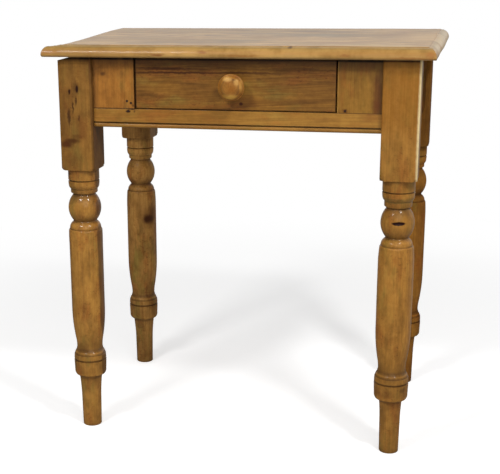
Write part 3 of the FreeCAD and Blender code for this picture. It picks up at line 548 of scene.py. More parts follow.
def pine(name, along, heart, pale="#BE8A44", ripe="#A06C30", line="#6E4318", ring_mm=5.0, seed=0.0,
         rings=0.28, mottle=0.4, grain=0.6, specks=0.0, gloss=0.45, ior=1.32, wax=0.1, wax_rough=0.15,
         waxed_below=None, marks=(), bands=(), shade=(), lean=(0.0, 0.0), edge=None):
    """Waxed pine whose grain runs along an axis. The heart is a point in mm on the tree's pith.

    Wax lies only below a height in mm, where one is given, or more thickly on the edge.
    A mark is its centre and its half sizes in mm, all in one row, its strength and an optional
    colour. A strength above 1 makes its rim crisp, and one from 0.6 to 1 swirls the rings.
    Bands are (axis, place in mm, half width in mm, strength, colour) across the whole piece;
    some are painted shadow lines under the top and a few are painted highlights. Shade is a
    darkening laid with the dirt, most of it painted shade under the top and beside the legs:
    (axis, from mm, to mm, strength). Edge is a pair of colours for the parts that the piece's own
    edge attribute names.
    """
    material = bpy.data.materials.new(name)
    tree = empty_tree(material)
    add = partial(put, tree)
    here = add("ShaderNodeTexCoord", give="Object")
    axes = add("ShaderNodeSeparateXYZ", [here], None)
    turned = Euler((*lean, 0)).to_matrix() @ TURN[along].to_matrix()
    log = add("ShaderNodeMapping", {
        "Vector": here, "Location": -(turned @ (Vector(heart) * MM)),
        "Rotation": turned.to_euler()}, vector_type="POINT")
    clouds = log_clouds(tree, log, seed)
    fibres, blotch = clouds["fibres"][0], clouds["blotch"][0]
    tints = add("ShaderNodeSeparateColor", [clouds["tints"][1]], None)
    spots, swirl = mark_coats(tree, here, seed, marks)
    ringed = yearly_rings(tree, log, clouds["wander"][1], swirl, 1000 / ring_mm)
    wood = wood_colour(tree, clouds, tints, ringed, pale, ripe, line, rings, mottle, grain)

    coats = []
    if edge is not None:
        on_edge = add("ShaderNodeAttribute", give="Fac", attribute_name="edge")
        coats.append(edge_coat(tree, here, seed, wood, on_edge, edge))
    if specks > 0:
        coats.append(pit_coat(tree, here, seed, tints["Green"], specks))
    grime = dirt_and_shade_level(tree, axes, clouds, shade)
    # dirt and the painted shade that shade names darken the wood as one coat
    coats.append((add("MULTIPLY", [grime, DIRT_AND_SHADE_SHARE]), paint(DIRT_AND_SHADE), "MIX"))
    wood = lay_coats(tree, wood, coats + band_coats(tree, axes, clouds["streaks"][0], bands) + spots)

    # gloss, relief and wax
    polish = add("MULTIPLY_ADD", [fibres, 0.16, gloss - 0.08])
    polish = add("MULTIPLY_ADD", [grime, 0.2, polish])
    relief = add("MULTIPLY", [fibres, 0.4])
    for source, height in ((ringed, 0.3), (blotch, -0.9)):
        relief = add("MULTIPLY_ADD", [source, height, relief])
    bump = add("ShaderNodeBump", {"Height": relief, "Strength": 0.35, "Distance": RELIEF})
    coat = wax
    if edge is not None:
        coat = add("MULTIPLY_ADD", [on_edge, 0.08, wax])
    if waxed_below is not None:
        coat = add("SMOOTH", [axes["Z"], (waxed_below + 2) * MM, (waxed_below - 2) * MM, 0, wax])
    surface = add("ShaderNodeBsdfPrincipled", {
        "Base Color": wood, "Roughness": polish, "IOR": ior, "Coat Weight": coat,
        "Coat Roughness": wax_rough, "Coat IOR": WAX_IOR, "Normal": bump})
    add("ShaderNodeOutputMaterial", [surface])
    return material


print("relief of the grain in mm:", RELIEF / MM)

# %% [markdown]
# Each leg is cut from its own length of pine, so the rings cross it at their own place. The
# marks are the knots, worm slits and stains that a buyer would remember this leg by. A few
# marks, bands and shades are painted light instead: a highlight on the worn arris of the front
# right leg, shade on the inner side of the front left block and the shadow under the top. The
# back legs have had less light and less polish, so they are darker and duller.

# %% Finishes of the legs
LEG_X, LEG_Y, BLOCK_HALF = 288, 184.5, 31.75
# the near-black of the painted shadow line just under the top's moulding
SHADOW_BLACK = "#160B04"
leg_finish = {
    "leg_front_left": pine(
        "waxed_pine_leg_front_left", "Z", (-330, -150, 0), seed=1.3, ring_mm=6.5, rings=0.18,
        pale="#AE7C35", ripe="#94692C", line="#845629", mottle=0.6, ior=1.24, wax=0.5, wax_rough=0.14,
        # the dark band and the first shade paint the shadow under the top; the second shade paints shade on
        # the inner side of the block, and the third makes the whole block darker
        grain=0.5, waxed_below=508, specks=0.5, bands=[("Z", 712.6, 3.2, 0.95, SHADOW_BLACK)],
        shade=[("Z", 703, 713, 0.9), ("X", -258.5, -256.8, 0.75), ("Z", 503, 511, 0.44)],
        marks=[
            (-288, -216, 612, 32, 12, 110, 0.18, "#5A3A12"), (-284.2, -216, 657.3, 2.4, 9, 6, 1.5),
            (-286, -216, 659, 6, 9, 13, 0.4), (-298.6, -216, 652.6, 2, 9, 5, 1.2),
            (-287, -216, 636, 1.6, 9, 9, 0.8), (-293, -216, 624, 1.8, 9, 11, 0.8),
            (-300.8, -216, 606, 2.8, 9, 16, 0.75), (-281.9, -216, 605, 1.6, 9, 7, 0.6),
            (-308, -216, 557, 12, 9, 7, 0.9, "#48220A"), (-296, -216, 564, 14, 9, 5, 0.85, "#452408"),
            (-285, -216, 572, 10, 9, 4.5, 0.55, "#4E2A0E"), (-315, -216, 620, 7, 40, 110, 0.3, "#55350F"),
            # the mark at x -256 is painted shade on the inner side of the block
            (-300, -216, 530, 16, 9, 12, 0.3, "#5A3210"), (-256, -190, 550, 4, 60, 90, 0.3, "#4A3010"),
            (-276, -216, 590, 9, 9, 26, 0.3, "#6E3410")]),
    "leg_front_right": pine(
        "waxed_pine_leg_front_right", "Z", (345, -120, 0), seed=4.1, ring_mm=7.0, rings=0.14,
        # the first shade and the dark band at 713 mm paint the shadow under the top; the second shade makes
        # the whole block darker
        pale="#A57431", ripe="#8F6528", mottle=0.55, shade=[("Z", 709, 714, 0.7), ("Z", 503, 511, 0.24)],
        ior=1.24, wax=0.27, wax_rough=0.14, waxed_below=508, specks=0.5,
        bands=[("Z", 662, 72, 0.5, "#82500E"), ("Z", 713.0, 2.6, 0.85, "#1A0D04"),
               ("Z", 474, 5, 0.45, "#63562A")],
        marks=[
            # the first mark is pale worn wood along the planed arris and outer side, made brighter as a
            # painted highlight of light from the right
            (323.5, -216, 612, 6.2, 23, 230, 1.4, "#E4CE9A"), (284, -214, 120, 11, 9, 8, 0.35, "#4A2408"),
            (310, -205, 127, 5, 9, 5, 0.4, "#3A1E0A"), (264, -204, 122, 7, 9, 9, 0.35, "#5A2408"),
            (292, -214, 435.5, 10, 14, 2.9, 3.0, "#260B04"), (262, -216, 690, 14, 9, 22, 0.2, "#5A3510"),
            (285, -214, 150, 16, 12, 9, 0.25), (300, -214, 300, 3, 12, 12, 0.25)]),
    "leg_back_left": pine(
        "waxed_pine_leg_back_left", "Z", (-250, 260, 0), seed=7.7, ring_mm=6.0, rings=0.25,
        pale="#AC7F3F", ripe="#865E2D", mottle=0.65, ior=1.22, wax=0.05, grain=0.7, specks=0.7,
        shade=[("Z", 500, 511, 0.58), ("Z", 110, 5, 0.55)],
        marks=[
            (-266, 160, 334, 12, 20, 10, 1.0), (-258, 160, 338, 23, 24, 23, 0.55, "#472408"),
            (-256, 165, 354, 8, 16, 20, 0.6, "#472408"), (-285, 155, 345, 5, 14, 60, 0.2, "#472408")]),
    "leg_back_right": pine(
        "waxed_pine_leg_back_right", "Z", (240, 140, 0), seed=9.2, ring_mm=6.0, rings=0.22,
        pale="#9A6A2A", ripe="#7B4F1C", mottle=0.5, wax=0.0, gloss=0.7, ior=1.16, specks=0.4,
        shade=[("Z", 497, 508, 0.6)]),
}
print("legs with a finish:", len(leg_finish))

# %% [markdown]
# The four legs come off the lathe one by one. Where a worm or a bruise has opened the wood,
# the points of the finished mesh are pressed in a little, so that light catches the hole.
# Use has rounded one block off at its top, and a plane has taken the outer arris, the long
# corner, off another. Both only take wood away, by moving points of that block inwards.

# %% Four turned legs
HOLES = {
    "leg_front_right": [(292, -214, 435.5, 10, 12, 3.0, 0.9)],
    "leg_front_left": [(-284.2, -216, 657.3, 2.2, 9, 5, 1.0)],
}


def press_in(mesh, middle, holes):
    """Presses oval holes towards the middle line of a piece: centre, half sizes and depth in mm."""
    for *oval, deep in holes:
        for vert in mesh.vertices:
            away = Vector([(c / MM - p) / h for c, p, h in zip(vert.co, oval[:3], oval[3:])]).length
            if away < 1:
                inward = Vector((middle[0] - vert.co.x, middle[1] - vert.co.y, 0)).normalized()
                vert.co += inward * deep * MM * math.sqrt(1 - away)


def wear_corner(mesh, from_x, top_z, fall):
    """Wears the top of a block away to a slope beyond a place in x, all sizes in mm."""
    for vert in mesh.vertices:
        ceiling = top_z - fall * max(from_x - vert.co.x / MM, 0)
        if vert.co.x / MM < from_x and vert.co.z / MM > ceiling:
            vert.co.z = ceiling * MM


def between_points(points, at):
    """Straight-line value between the pairs of a list, by its first number."""
    for (a, low), (b, high) in zip(points, points[1:]):
        if at <= b:
            return low + (high - low) * max(at - a, 0) / (b - a)
    return points[-1][1]


WORN_ARRIS = [
    (TURNED_BELOW, 2.6), (560, 2.5), (600, 2), (624, 2), (630, 3.2), (652, 3.2), (660, 2.8), (715, 3)]


def wear_arris(mesh, corner, sizes):
    """Planes off the right front arris of a block: its place in mm, and how much at each height."""
    for vert in mesh.vertices:
        x, y, z = [c / MM for c in vert.co]
        if z > TURNED_BELOW:
            over = (x - corner[0]) + (corner[1] - y) + between_points(sizes, z)
            if over > 0:
                vert.co.x -= over / 2 * MM
                vert.co.y += over / 2 * MM


pieces = {}
for number, (name, finish) in enumerate(leg_finish.items()):
    side_x = -1 if name.endswith("left") else 1
    side_y = -1 if "front" in name else 1
    leg = plain_mesh("turned_" + name, outline_mesh("leg_outline", leg_rows[name]), lathe, {
        "Turn steps": 112, "Block half": BLOCK_HALF * MM, "Corner sharpness": 28.0, "Wear": 0.012,
        "Seed": 3.0 + number * 5.7, "Place": (side_x * LEG_X * MM, side_y * LEG_Y * MM, 0.0),
        "Finish": finish})
    if name == "leg_front_left":
        wear_corner(leg.data, -296, 714, 0.26)
    if name == "leg_front_right":
        wear_arris(leg.data, (LEG_X + BLOCK_HALF, -LEG_Y - BLOCK_HALF), WORN_ARRIS)
    press_in(leg.data, (side_x * LEG_X * MM, side_y * LEG_Y * MM), HOLES.get(name, ()))
    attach(leg, "table")
    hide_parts(name)
    pieces[name] = leg
print("faces in each leg:", [len(leg.data.polygons) for leg in pieces.values()])

# %% [markdown]
# The knob is turned with its grain running out of the drawer, so its face shows end grain.
# It comes off the same lathe with another outline, and without a block to square it.

# %% Turned knob
KNOB_OUTLINE = [
    (-20, 0, 0.3), (-20, 7, 0.3), (-0.2, 7, 0.3), (-0.2, 13.2, 1), (2, 13.4, 0.6, 1.8), (6, 10.5, 0.9, -6),
    (9.5, 12, 0.6, -9), (17.5, 22.6, 0.15, -22), (21, 22.4, 0, 2.2), (21.6, 21, 0.5), (27.2, 17.4, 0, 11),
    (27.6, 16.4, 0.6), (30.3, 0, 0, 53)]
knob_finish = pine(
    "waxed_pine_knob", "Y", (6, 0, 672), seed=2.2, ring_mm=3.2, rings=0.3, pale="#AA7630", ripe="#8A5A22",
    wax=0.12, wax_rough=0.2, gloss=0.4, ior=1.26, mottle=0.45,
    marks=[
        # the four paler marks are painted highlights on the rim and face; the three darker ones make the
        # middle and the rim darker
        (-6, -233, 681, 8, 8, 4, 0.6, "#D8A85C"), (18, -228, 669, 3, 9, 10, 0.5, "#CE9C50"),
        (11.5, -235, 676, 4, 8, 6, 0.55, "#D2A052"), (0, -234, 650, 13, 9, 5, 0.55, "#B88E3C"),
        (3, -236, 664, 6, 9, 5, 0.5, "#8A5216"), (-20.5, -227, 665, 3, 8, 13, 0.4, "#935A1C"),
        (9.5, -226, 685, 9, 9, 3, 0.5, "#844A18")])
knob = plain_mesh("turned_knob", outline_mesh("knob_outline", turned_rows(KNOB_OUTLINE, 3, 1)), lathe, {
    "Turn steps": 64, "Block half": 1.0, "Corner sharpness": 2.0, "Wear": 0.006, "Seed": 11.0,
    "Place": (0.0, -206.25 * MM, 665.5 * MM), "Lean": (math.pi / 2, 0.0, 0.0), "Finish": knob_finish})
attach(knob, "drawer")
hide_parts("drawer_knob")
print("faces in the knob:", len(knob.data.polygons))

# %% [markdown]
# The top is three boards glued edge to edge, with a thumb moulding planed round all four edges:
# a small step, a quarter round and a soft lower edge. The mouldings meet in mitres.
# One slab is built from rings that follow the moulding's section inwards, and is then sawn
# into its boards. A little noise gives the hollows and soft nicks that use leaves, and the left
# end is worn to a slope, as if things were slid off it there for years.

# %% Section of the moulded edge
TOP_HALF = (347, 234)
TOP_Z, UNDER_Z = 736, 715
THUMB, THUMB_STEPS = 16, 14
NOSE, NOSE_STEPS = 4, 5
FLAT_INSET = 22


def moulding_rings():
    """Section of the moulded edge, from the flat to the underside: inset, height, edge, grime."""
    rings = [(FLAT_INSET, TOP_Z, 0, 0), (17.2, TOP_Z, 0, 0), (16.4, TOP_Z - 0.15, 0.3, 0),
             (16.0, TOP_Z - 0.55, 0.6, 0.2), (15.7, TOP_Z - 1.0, 1, 0.45)]
    for i in range(1, THUMB_STEPS + 1):
        a = math.radians(90 * i / THUMB_STEPS)
        rings.append((THUMB * (1 - math.sin(a)), UNDER_Z + NOSE + THUMB * math.cos(a), 1, 0))
    for i in range(1, NOSE_STEPS + 1):
        a = math.radians(90 * i / NOSE_STEPS)
        rings.append((NOSE * (1 - math.cos(a)), UNDER_Z + NOSE - NOSE * math.sin(a), 1, 0.12 * i))
    rings.append((FLAT_INSET, UNDER_Z, 1, 0.5))
    return rings


print("rings of the moulding:", len(moulding_rings()))

# %% [markdown]
# Wear is a rule for where a point goes. The left end falls away from a line that runs across
# the top, but keeps its front corner; both ends are rubbed back; and noise gives every edge
# soft hollows with a nick here and there, and the flat a hollow of half a millimetre.

# %% Wear of the top
WORN_END = [(-234, -307), (-162, -308), (-67, -312), (-16, -314), (37, -319), (92, -325), (150, -332),
            (234, -343)]
WORN_FALL, ROUNDING = 0.25, 0.15
CORNER_KEPT, CORNER_FADES, CORNER_HIGHER = 9, 10, 6
WORN_RIGHT = [(-234, 3.3), (-226, 2.3), (-190, 1.8), (-114, 1.8), (-74, 1.2), (0, 0), (234, 0)]
WORN_LEFT = [(-234, 3.2), (-222, 2.4), (-190, 1.2), (-150, 0.4), (0, 0), (234, 0)]
RUB_GROWS = 14
HOLLOWS_PER_METRE, HOLLOW = 22, 0.5
NICK_FROM, NICK = 0.28, 2.2


def end_wear(x, y, z):
    """Where a point of the top has gone in mm: the left end is worn behind its front corner."""
    behind = min(max((y + TOP_HALF[1] - CORNER_KEPT) / CORNER_FADES, 0), 1)
    fall = WORN_FALL * (between_points(WORN_END, y) - x) - CORNER_HIGHER * (1 - behind)
    over = z - (TOP_Z - fall)
    if fall > 0 and z > UNDER_Z + 8 and over > -1.5:
        z -= 0.5 * (over + math.sqrt(over ** 2 + ROUNDING))
    for side, rubbed in ((1, WORN_RIGHT), (-1, WORN_LEFT)):
        past = side * x - TOP_HALF[0] + FLAT_INSET
        if past > 0 and z > UNDER_Z:
            x -= side * between_points(rubbed, y) * min(past / RUB_GROWS, 1)
    return x, z


def wear_slab(mesh, edge):
    """Wears the slab's points, those of its edge more than those of its flat."""
    for vert in mesh.verts:
        spot = Vector([c * HOLLOWS_PER_METRE for c in vert.co])
        nick = max(noise.noise(spot * 2.2 + Vector((7, 3, 1))) - NICK_FROM, 0)
        if vert[edge] > 0 and vert.co.z > (UNDER_Z + 0.5) * MM:
            worn = (0.5 + 0.5 * noise.noise(spot)) * HOLLOW + nick * NICK
            vert.co.x -= math.copysign(worn * MM, vert.co.x)
            vert.co.y -= math.copysign(worn * MM, vert.co.y)
            vert.co.z -= worn * 0.6 * MM
        elif vert.co.z > (UNDER_Z + 0.5) * MM:
            vert.co.z -= (0.5 + 0.5 * noise.noise(spot * 0.4)) * HOLLOW * MM
        x, z = end_wear(vert.co.x / MM, vert.co.y / MM, vert.co.z / MM)
        vert.co.x, vert.co.z = x * MM, z * MM


print("fall of the worn end at its middle in mm:", round(TOP_Z - end_wear(-345, 0, TOP_Z)[1], 2))

# %% [markdown]
# The slab is two sheets of squares, one above and one below, and the rings of the moulding
# between their rims. The squares are closer at the worn end, where the surface bends most,
# and have a line at each joint of the boards, where the slab will be sawn.

# %% The slab
JOINTS = (-80, 88)
SQUARE = 9
WORN_LINES = range(-323, -300, 3)


def rim(sheet):
    """The outer points of a sheet, once round."""
    last_i, last_j = len(sheet) - 1, len(sheet[0]) - 1
    walk = [sheet[i][0] for i in range(last_i)] + [sheet[last_i][j] for j in range(last_j)]
    walk += [sheet[i][last_j] for i in range(last_i, 0, -1)]
    return walk + [sheet[0][j] for j in range(last_j, 0, -1)]


def skirt(mesh, before, after):
    """Faces between two rings of points."""
    for i in range(len(before)):
        j = (i + 1) % len(before)
        mesh.faces.new((before[i], before[j], after[j], after[i]))


def slab_mesh():
    """The whole top as one closed mesh in metres, with its edge and grime attributes."""
    mesh = bmesh.new()
    edge, grime = [mesh.verts.layers.float.new(label) for label in ("edge", "grime")]
    lines = []
    for half, extra in zip(TOP_HALF, (WORN_LINES, JOINTS)):
        inner = half - FLAT_INSET
        count = round(inner / SQUARE)
        lines.append(sorted({round(inner * i / count, 3) for i in range(-count, count + 1)} | set(extra)))

    def corner(x, y, z, e, g):
        vert = mesh.verts.new((x * MM, y * MM, z * MM))
        vert[edge], vert[grime] = e, g
        return vert

    floors = {z: [[corner(x, y, z, e, g) for y in lines[1]] for x in lines[0]]
              for z, e, g in ((TOP_Z, 0, 0), (UNDER_Z, 1, 0.5))}
    for sheet in floors.values():
        for i in range(len(lines[0]) - 1):
            for j in range(len(lines[1]) - 1):
                mesh.faces.new((sheet[i][j], sheet[i + 1][j], sheet[i + 1][j + 1], sheet[i][j + 1]))

    before = rim(floors[TOP_Z])
    base = [(v.co.x / MM, v.co.y / MM) for v in before]
    for inset, z, e, g in moulding_rings()[1:-1]:
        grow = FLAT_INSET - inset
        ring = []
        for place in base:
            on_side = [abs(abs(c) - (half - FLAT_INSET)) < 0.01 for c, half in zip(place, TOP_HALF)]
            x, y = [c + math.copysign(grow, c) * outer for c, outer in zip(place, on_side)]
            ring.append(corner(x, y, z, e, g))
        skirt(mesh, before, ring)
        before = ring
    skirt(mesh, before, rim(floors[UNDER_Z]))
    wear_slab(mesh, edge)
    bmesh.ops.recalc_face_normals(mesh, faces=mesh.faces[:])
    return mesh


slab = slab_mesh()
print("faces in the slab:", len(slab.faces))

# %% [markdown]
# Each board is a copy of the slab, sawn at its two joints. The boards come from different
# trees, so each has its own finish: scrubbed and faded on the flat, waxed on the moulding. A
# pale painted sheen lies on the moulding of the right end, and a painted highlight on the left end.

# %% Three boards
SAW = 0.12
# the second colour is a painted sheen, the pale cream laid on the moulding of the right end
PATINA, PAINTED_END_SHEEN, OILED, STAIN = "#54503F", "#C8B184", "#6E5534", "#553A1A"
board_finish = {
    "top_board_front": {"heart": (90, -175, 640), "seed": 5.5, "lean": (0.02, 0.05), "marks": [
        (194, -234, 722, 9, 10, 2.4, 0.6, "#7E4A1A"), (-129, -234, 721, 12, 10, 2.6, 0.8, "#6E3C12"),
        (-49, -234, 726, 8, 10, 3, 0.6, "#7A4416"), (101, -222, 735, 4, 8, 4, 0.9, "#4A2C10"),
        (20, -234, 720, 34, 10, 2.2, 0.5, "#85501E"), (-330, -228, 723, 22, 10, 5, 0.4, "#9C5A1E"),
        (-250, -230, 722, 115, 10, 12, 0.45, "#845A24"), (334, -228, 723, 9, 12, 7, 0.55, "#94561F"),
        (300, -234, 718, 34, 8, 2.2, 0.5, "#8A4E22"), (250, -230, 722, 100, 10, 12, 0.3, "#8A5E26"),
        # the grey mark on the left end is a painted highlight, and the pale end mark beside it painted
        # sheen
        (-345, -226, 724, 3, 12, 7, 0.6, "#94857C"), (343, -146, 728, 8, 46, 14, 0.6, PAINTED_END_SHEEN),
        (250, -196, 736, 80, 20, 8, 0.35, "#C8A865"), (-11, -95, 736, 60, 30, 8, 0.35, PATINA),
        (-60, -150, 736, 150, 14, 8, 0.35, OILED)]},
    "top_board_middle": {"heart": (0, 10, 610), "seed": 6.1, "lean": (-0.02, 0.06), "marks": [
        (150, -13, 736, 30, 16, 8, 0.35, "#5A3E1C"), (306, 71, 736, 5, 9, 8, 0.6, "#4A2E12"),
        (-8, 70, 736, 70, 30, 8, 0.35, PATINA), (120, 30, 736, 95, 40, 8, 0.45, "#57503C"),
        (-40, 10, 736, 120, 12, 8, 0.35, OILED), (330, 0, 736, 60, 200, 8, 0.5, "#C49C62"),
        (343, 0, 728, 8, 200, 14, 0.6, PAINTED_END_SHEEN)]},
    "top_board_back": {"heart": (0, 150, 655), "seed": 8.4, "lean": (0.01, -0.06), "marks": [
        (85, 140, 736, 46, 26, 8, 0.45, STAIN), (150, 120, 736, 28, 16, 8, 0.4, STAIN),
        (-75, 160, 736, 40, 20, 8, 0.25, STAIN), (343, 150, 728, 8, 90, 14, 0.6, PAINTED_END_SHEEN)]},
}
for number, (name, grain) in enumerate(board_finish.items()):
    board = slab.copy()
    cuts = []
    if number > 0:
        cuts.append((JOINTS[number - 1] + SAW, -1))
    if number < 2:
        cuts.append((JOINTS[number] - SAW, 1))
    for at, out in cuts:
        everything = board.verts[:] + board.edges[:] + board.faces[:]
        cut = bmesh.ops.bisect_plane(board, geom=everything, dist=1e-7, plane_co=(0, at * MM, 0),
                                     plane_no=(0, out, 0), clear_outer=True)
        rim_edges = [e for e in cut["geom_cut"] if isinstance(e, bmesh.types.BMEdge)]
        bmesh.ops.holes_fill(board, edges=rim_edges, sides=0)
    bmesh.ops.recalc_face_normals(board, faces=board.faces[:])
    mesh = bpy.data.meshes.new(name + "_worn")
    board.to_mesh(mesh)
    board.free()
    mesh.shade_smooth()
    mesh.set_sharp_from_angle(angle=math.radians(35))
    mesh.materials.append(pine(
        "scrubbed_pine_" + name, "X", pale="#B6915A", ripe="#9A7844", line="#684618", ring_mm=6.5,
        rings=0.55, grain=0.95, gloss=0.43, wax_rough=0.12, mottle=0.36, edge=("#B0925A", "#937742"),
        bands=[("Z", 733.0, 1.9, 0.4, "#7E6A38"), ("Z", 725, 3, 0.4, "#A8742E"),
               ("Z", 716.5, 2.2, 0.5, "#7A6440")],
        **grain))
    piece = show(name + "_worn", mesh)
    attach(piece, "table")
    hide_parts(name)
    pieces[name] = piece
    print(name, "faces:", len(mesh.polygons))
slab.free()

# %% [markdown]
# The frame and the drawer keep the joiner's own solids, because boards with square ends are
# already right. Each gets pine cut from its own part of the tree, with its stains, and painted
# shade and shadow lines under the top and beside the legs.

# %% Finishes of the frame
DRAWER_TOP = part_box("drawer_front")[1].z / MM
# the first colour is dirt and painted shade in the quirk of the rail's bead, and dirt in the joint of stile
# and rail; the band beside it is a painted shadow line under the top; IN_SHADE paints shade on the aprons
# towards the top
SOILED_AND_SHADED, SHADOW_UNDER_TOP = "#241305", ("Z", 711.8, 3.2, 0.95, SHADOW_BLACK)
IN_SHADE = [("Z", 700, 716, 0.4)]
frame_finish = {
    "front_bottom_rail": pine(
        "waxed_pine_rail", "X", (120, -150, 560), seed=3.3, rings=0.25, pale="#9B6F2C",
        ripe="#8A5F22", lean=(0.01, 0.03),
        marks=[
            (-191.6, -206, 618, 4.5, 6, 2.2, 1.2), (-180, -206, 618.3, 2, 6, 2, 0.6),
            (-185.5, -206, 622.2, 8.5, 6, 1.1, 1.1, "#1C0D04"), (240, -206, 617, 16, 8, 9, 0.3, "#6A2E10"),
            (150, -206, 612, 30, 8, 4, 0.2, "#6A3C14")],
        # the band at 597.6 mm is dirt and painted shade in the quirk of the bead, the band at 623 mm a dark
        # joint; the shade darkens the rail below the bead
        bands=[("Z", 597.6, 1.7, 0.8, SOILED_AND_SHADED), ("Z", 623, 0.9, 0.7, DIRT_AND_SHADE)],
        shade=[("Z", 594.6, 591.0, 0.35)]),
    "front_stile_left": pine(
        "waxed_pine_stile_left", "Z", (-215, -80, 650), seed=12.1, ring_mm=9, rings=0.15, pale="#9D6726",
        # the first shade paints the shadow under the top and the second the shade beside the leg; the last
        # band is the painted shadow line under the top
        ripe="#80531B", mottle=0.55, shade=[("Z", 692, 713, 0.75), ("X", -236, -257, 0.65)],
        bands=[("Z", 623, 1.3, 0.85, SOILED_AND_SHADED), ("X", -180, 0.9, 0.6, DIRT_AND_SHADE), SHADOW_UNDER_TOP],
        marks=[
            (-238, -206, 684, 5, 8, 3, 0.6), (-240, -206, 690, 16, 8, 7, 0.3),
            (-192.6, -206, 636, 2.2, 8, 1.8, 0.5), (-182.5, -206, 628.4, 1.8, 8, 2.4, 0.6)]),
    "front_stile_right": pine(
        "waxed_pine_stile_right", "Z", (215, -90, 650), seed=15.7, ring_mm=9, rings=0.15, pale="#8C6423",
        # the first shade paints the shadow under the top and the second the shade beside the leg; the pale
        # band at x 181.6 is the worn arris beside the drawer, made brighter as a painted highlight; the
        # last band is the painted shadow line under the top
        ripe="#77521A", mottle=0.5, shade=[("Z", 686, 712, 0.75), ("X", 238, 255, 0.6)],
        bands=[("Z", 623, 0.9, 0.5, DIRT_AND_SHADE), ("X", 181.6, 0.8, 0.4, "#B98C48"), SHADOW_UNDER_TOP],
        marks=[
            (247, -206, 634, 8, 8, 12, 0.5, "#5A2A0C"), (247, -206, 655, 7, 8, 36, 0.5, "#5A2A0C"),
            (194.1, -206, 626.9, 5, 6, 4.5, 0.6, "#54240C")]),
    "back_apron": pine(
        "waxed_pine_back", "X", (0, 120, 600), seed=18.2, ring_mm=6, pale="#8E6630", ripe="#714A22",
        shade=IN_SHADE),
    "side_apron_left": pine(
        "waxed_pine_side_left", "Y", (-240, 0, 640), seed=19.4, ring_mm=6, pale="#8E6630", ripe="#714A22",
        shade=IN_SHADE),
    # this apron's colours, darker than the other aprons', are painted shade on a face set back under the
    # top
    "side_apron_right": pine(
        "waxed_pine_side_right", "Y", (240, 0, 640), seed=21.9, ring_mm=6, pale="#5C3E1C", ripe="#462C12",
        gloss=0.75, wax=0.0, ior=1.02, shade=IN_SHADE),
    "drawer_front": pine(
        "waxed_pine_drawer", "X", (60, -120, 655), seed=24.4, ring_mm=6, rings=0.5, pale="#8F6322",
        ripe="#714B1A", line="#4E2E0E", lean=(0.02, 0.04), mottle=0.5, specks=0.6, grain=1.0,
        marks=[
            (13.6, -206, 635.3, 3.2, 6, 2.8, 1.4), (20, -206, 638, 30, 6, 12, 0.55, "#4A2208"),
            (-125, -206, 694, 62, 6, 2.6, 0.75, "#3A1A06"), (-95, -206, 688, 95, 6, 2.0, 0.8, "#3A1A06"),
            (35, -206, 689, 60, 6, 2.2, 0.6, "#3A1A06"), (100, -206, 694, 60, 6, 3, 0.4, "#3A1E08"),
            (120, -206, 660, 45, 6, 1.6, 0.25, "#4A2A0C"), (45, -206, 677, 5, 6, 2, 0.4),
            (90, -206, 640, 70, 6, 2, 0.18, "#3A1E08")],
        # the band at 711 mm and the first shade paint the shadow under the top, the second shade makes the
        # right part darker, and the last band gives the top face back a plain wood colour
        bands=[("X", -177.2, 1.5, 0.85, "#1C0D04"), ("Z", 711.0, 2.2, 0.75, SHADOW_BLACK),
               ("X", 177.8, 0.8, 0.7, DIRT_AND_SHADE), ("Z", DRAWER_TOP, 0.35, 1.0, "#9C7440")],
        shade=[("Z", 694, 713, 0.75), ("X", 0, 130, 0.14)]),
}
bare = {
    "drawer_runner_left": "Y", "drawer_runner_right": "Y", "drawer_guide_left": "Y",
    "drawer_guide_right": "Y", "drawer_stops": "X", "glue_blocks": "X", "drawer_side_left": "Y",
    "drawer_side_right": "Y", "drawer_back": "X", "drawer_bottom": "X",
}
for number, (name, along) in enumerate(bare.items()):
    low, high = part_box(name)
    heart = (low + high) * 500 + Vector((18 - 6 * number % 5, 22, -50 + 3 * number))
    frame_finish[name] = pine(
        "bare_pine_" + name, along, heart, seed=30 + 2.7 * number, pale="#BC9862", ripe="#A5824F",
        line="#84602F", wax=0, gloss=0.62, rings=0.35, mottle=0.12)
for name, finish in frame_finish.items():
    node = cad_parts[name]
    if not node.material_slots:
        node.data.materials.append(finish)
    for place in node.material_slots:
        place.material = finish
print("solids with a finish:", len(frame_finish))

# %% [markdown]
# A few cut nails pin the stiles to the rail behind. Only their heads show, rusted nearly
# black and dished by the punch. A head is a shallow cone with its tip cut off; Geometry Nodes
# set one on each place with its own turn, and the seed keeps those turns the same each run.

# %% Nail heads
NAILS = [(-193.7, 636.7), (-186.3, 633.2), (-191.4, 618.9), (194.1, 626.9)]
NAIL_FACE_Y = -206.75


def rusted_iron():
    """Old iron: a dark brown, rough skin of rust with a little bare metal left in it."""
    material = bpy.data.materials.new("rusted_iron_nails")
    add = partial(put, empty_tree(material))
    here = add("ShaderNodeTexCoord", give="Object")
    rust = add("ShaderNodeTexNoise", {"Vector": here, "Scale": 900.0, "Detail": 3.0})
    patches = add("ShaderNodeMapRange", [rust, 0.35, 0.65])
    skin = add("BLEND", {0: patches, 6: paint("#1E1008"), 7: paint("#3F2211")}, 2)
    bump = add("ShaderNodeBump", {"Height": rust, "Strength": 0.5, "Distance": 0.0003})
    surface = add("ShaderNodeBsdfPrincipled", {
        "Base Color": skin, "Roughness": 0.7, "Metallic": 0.3, "Normal": bump})
    add("ShaderNodeOutputMaterial", [surface])
    return material


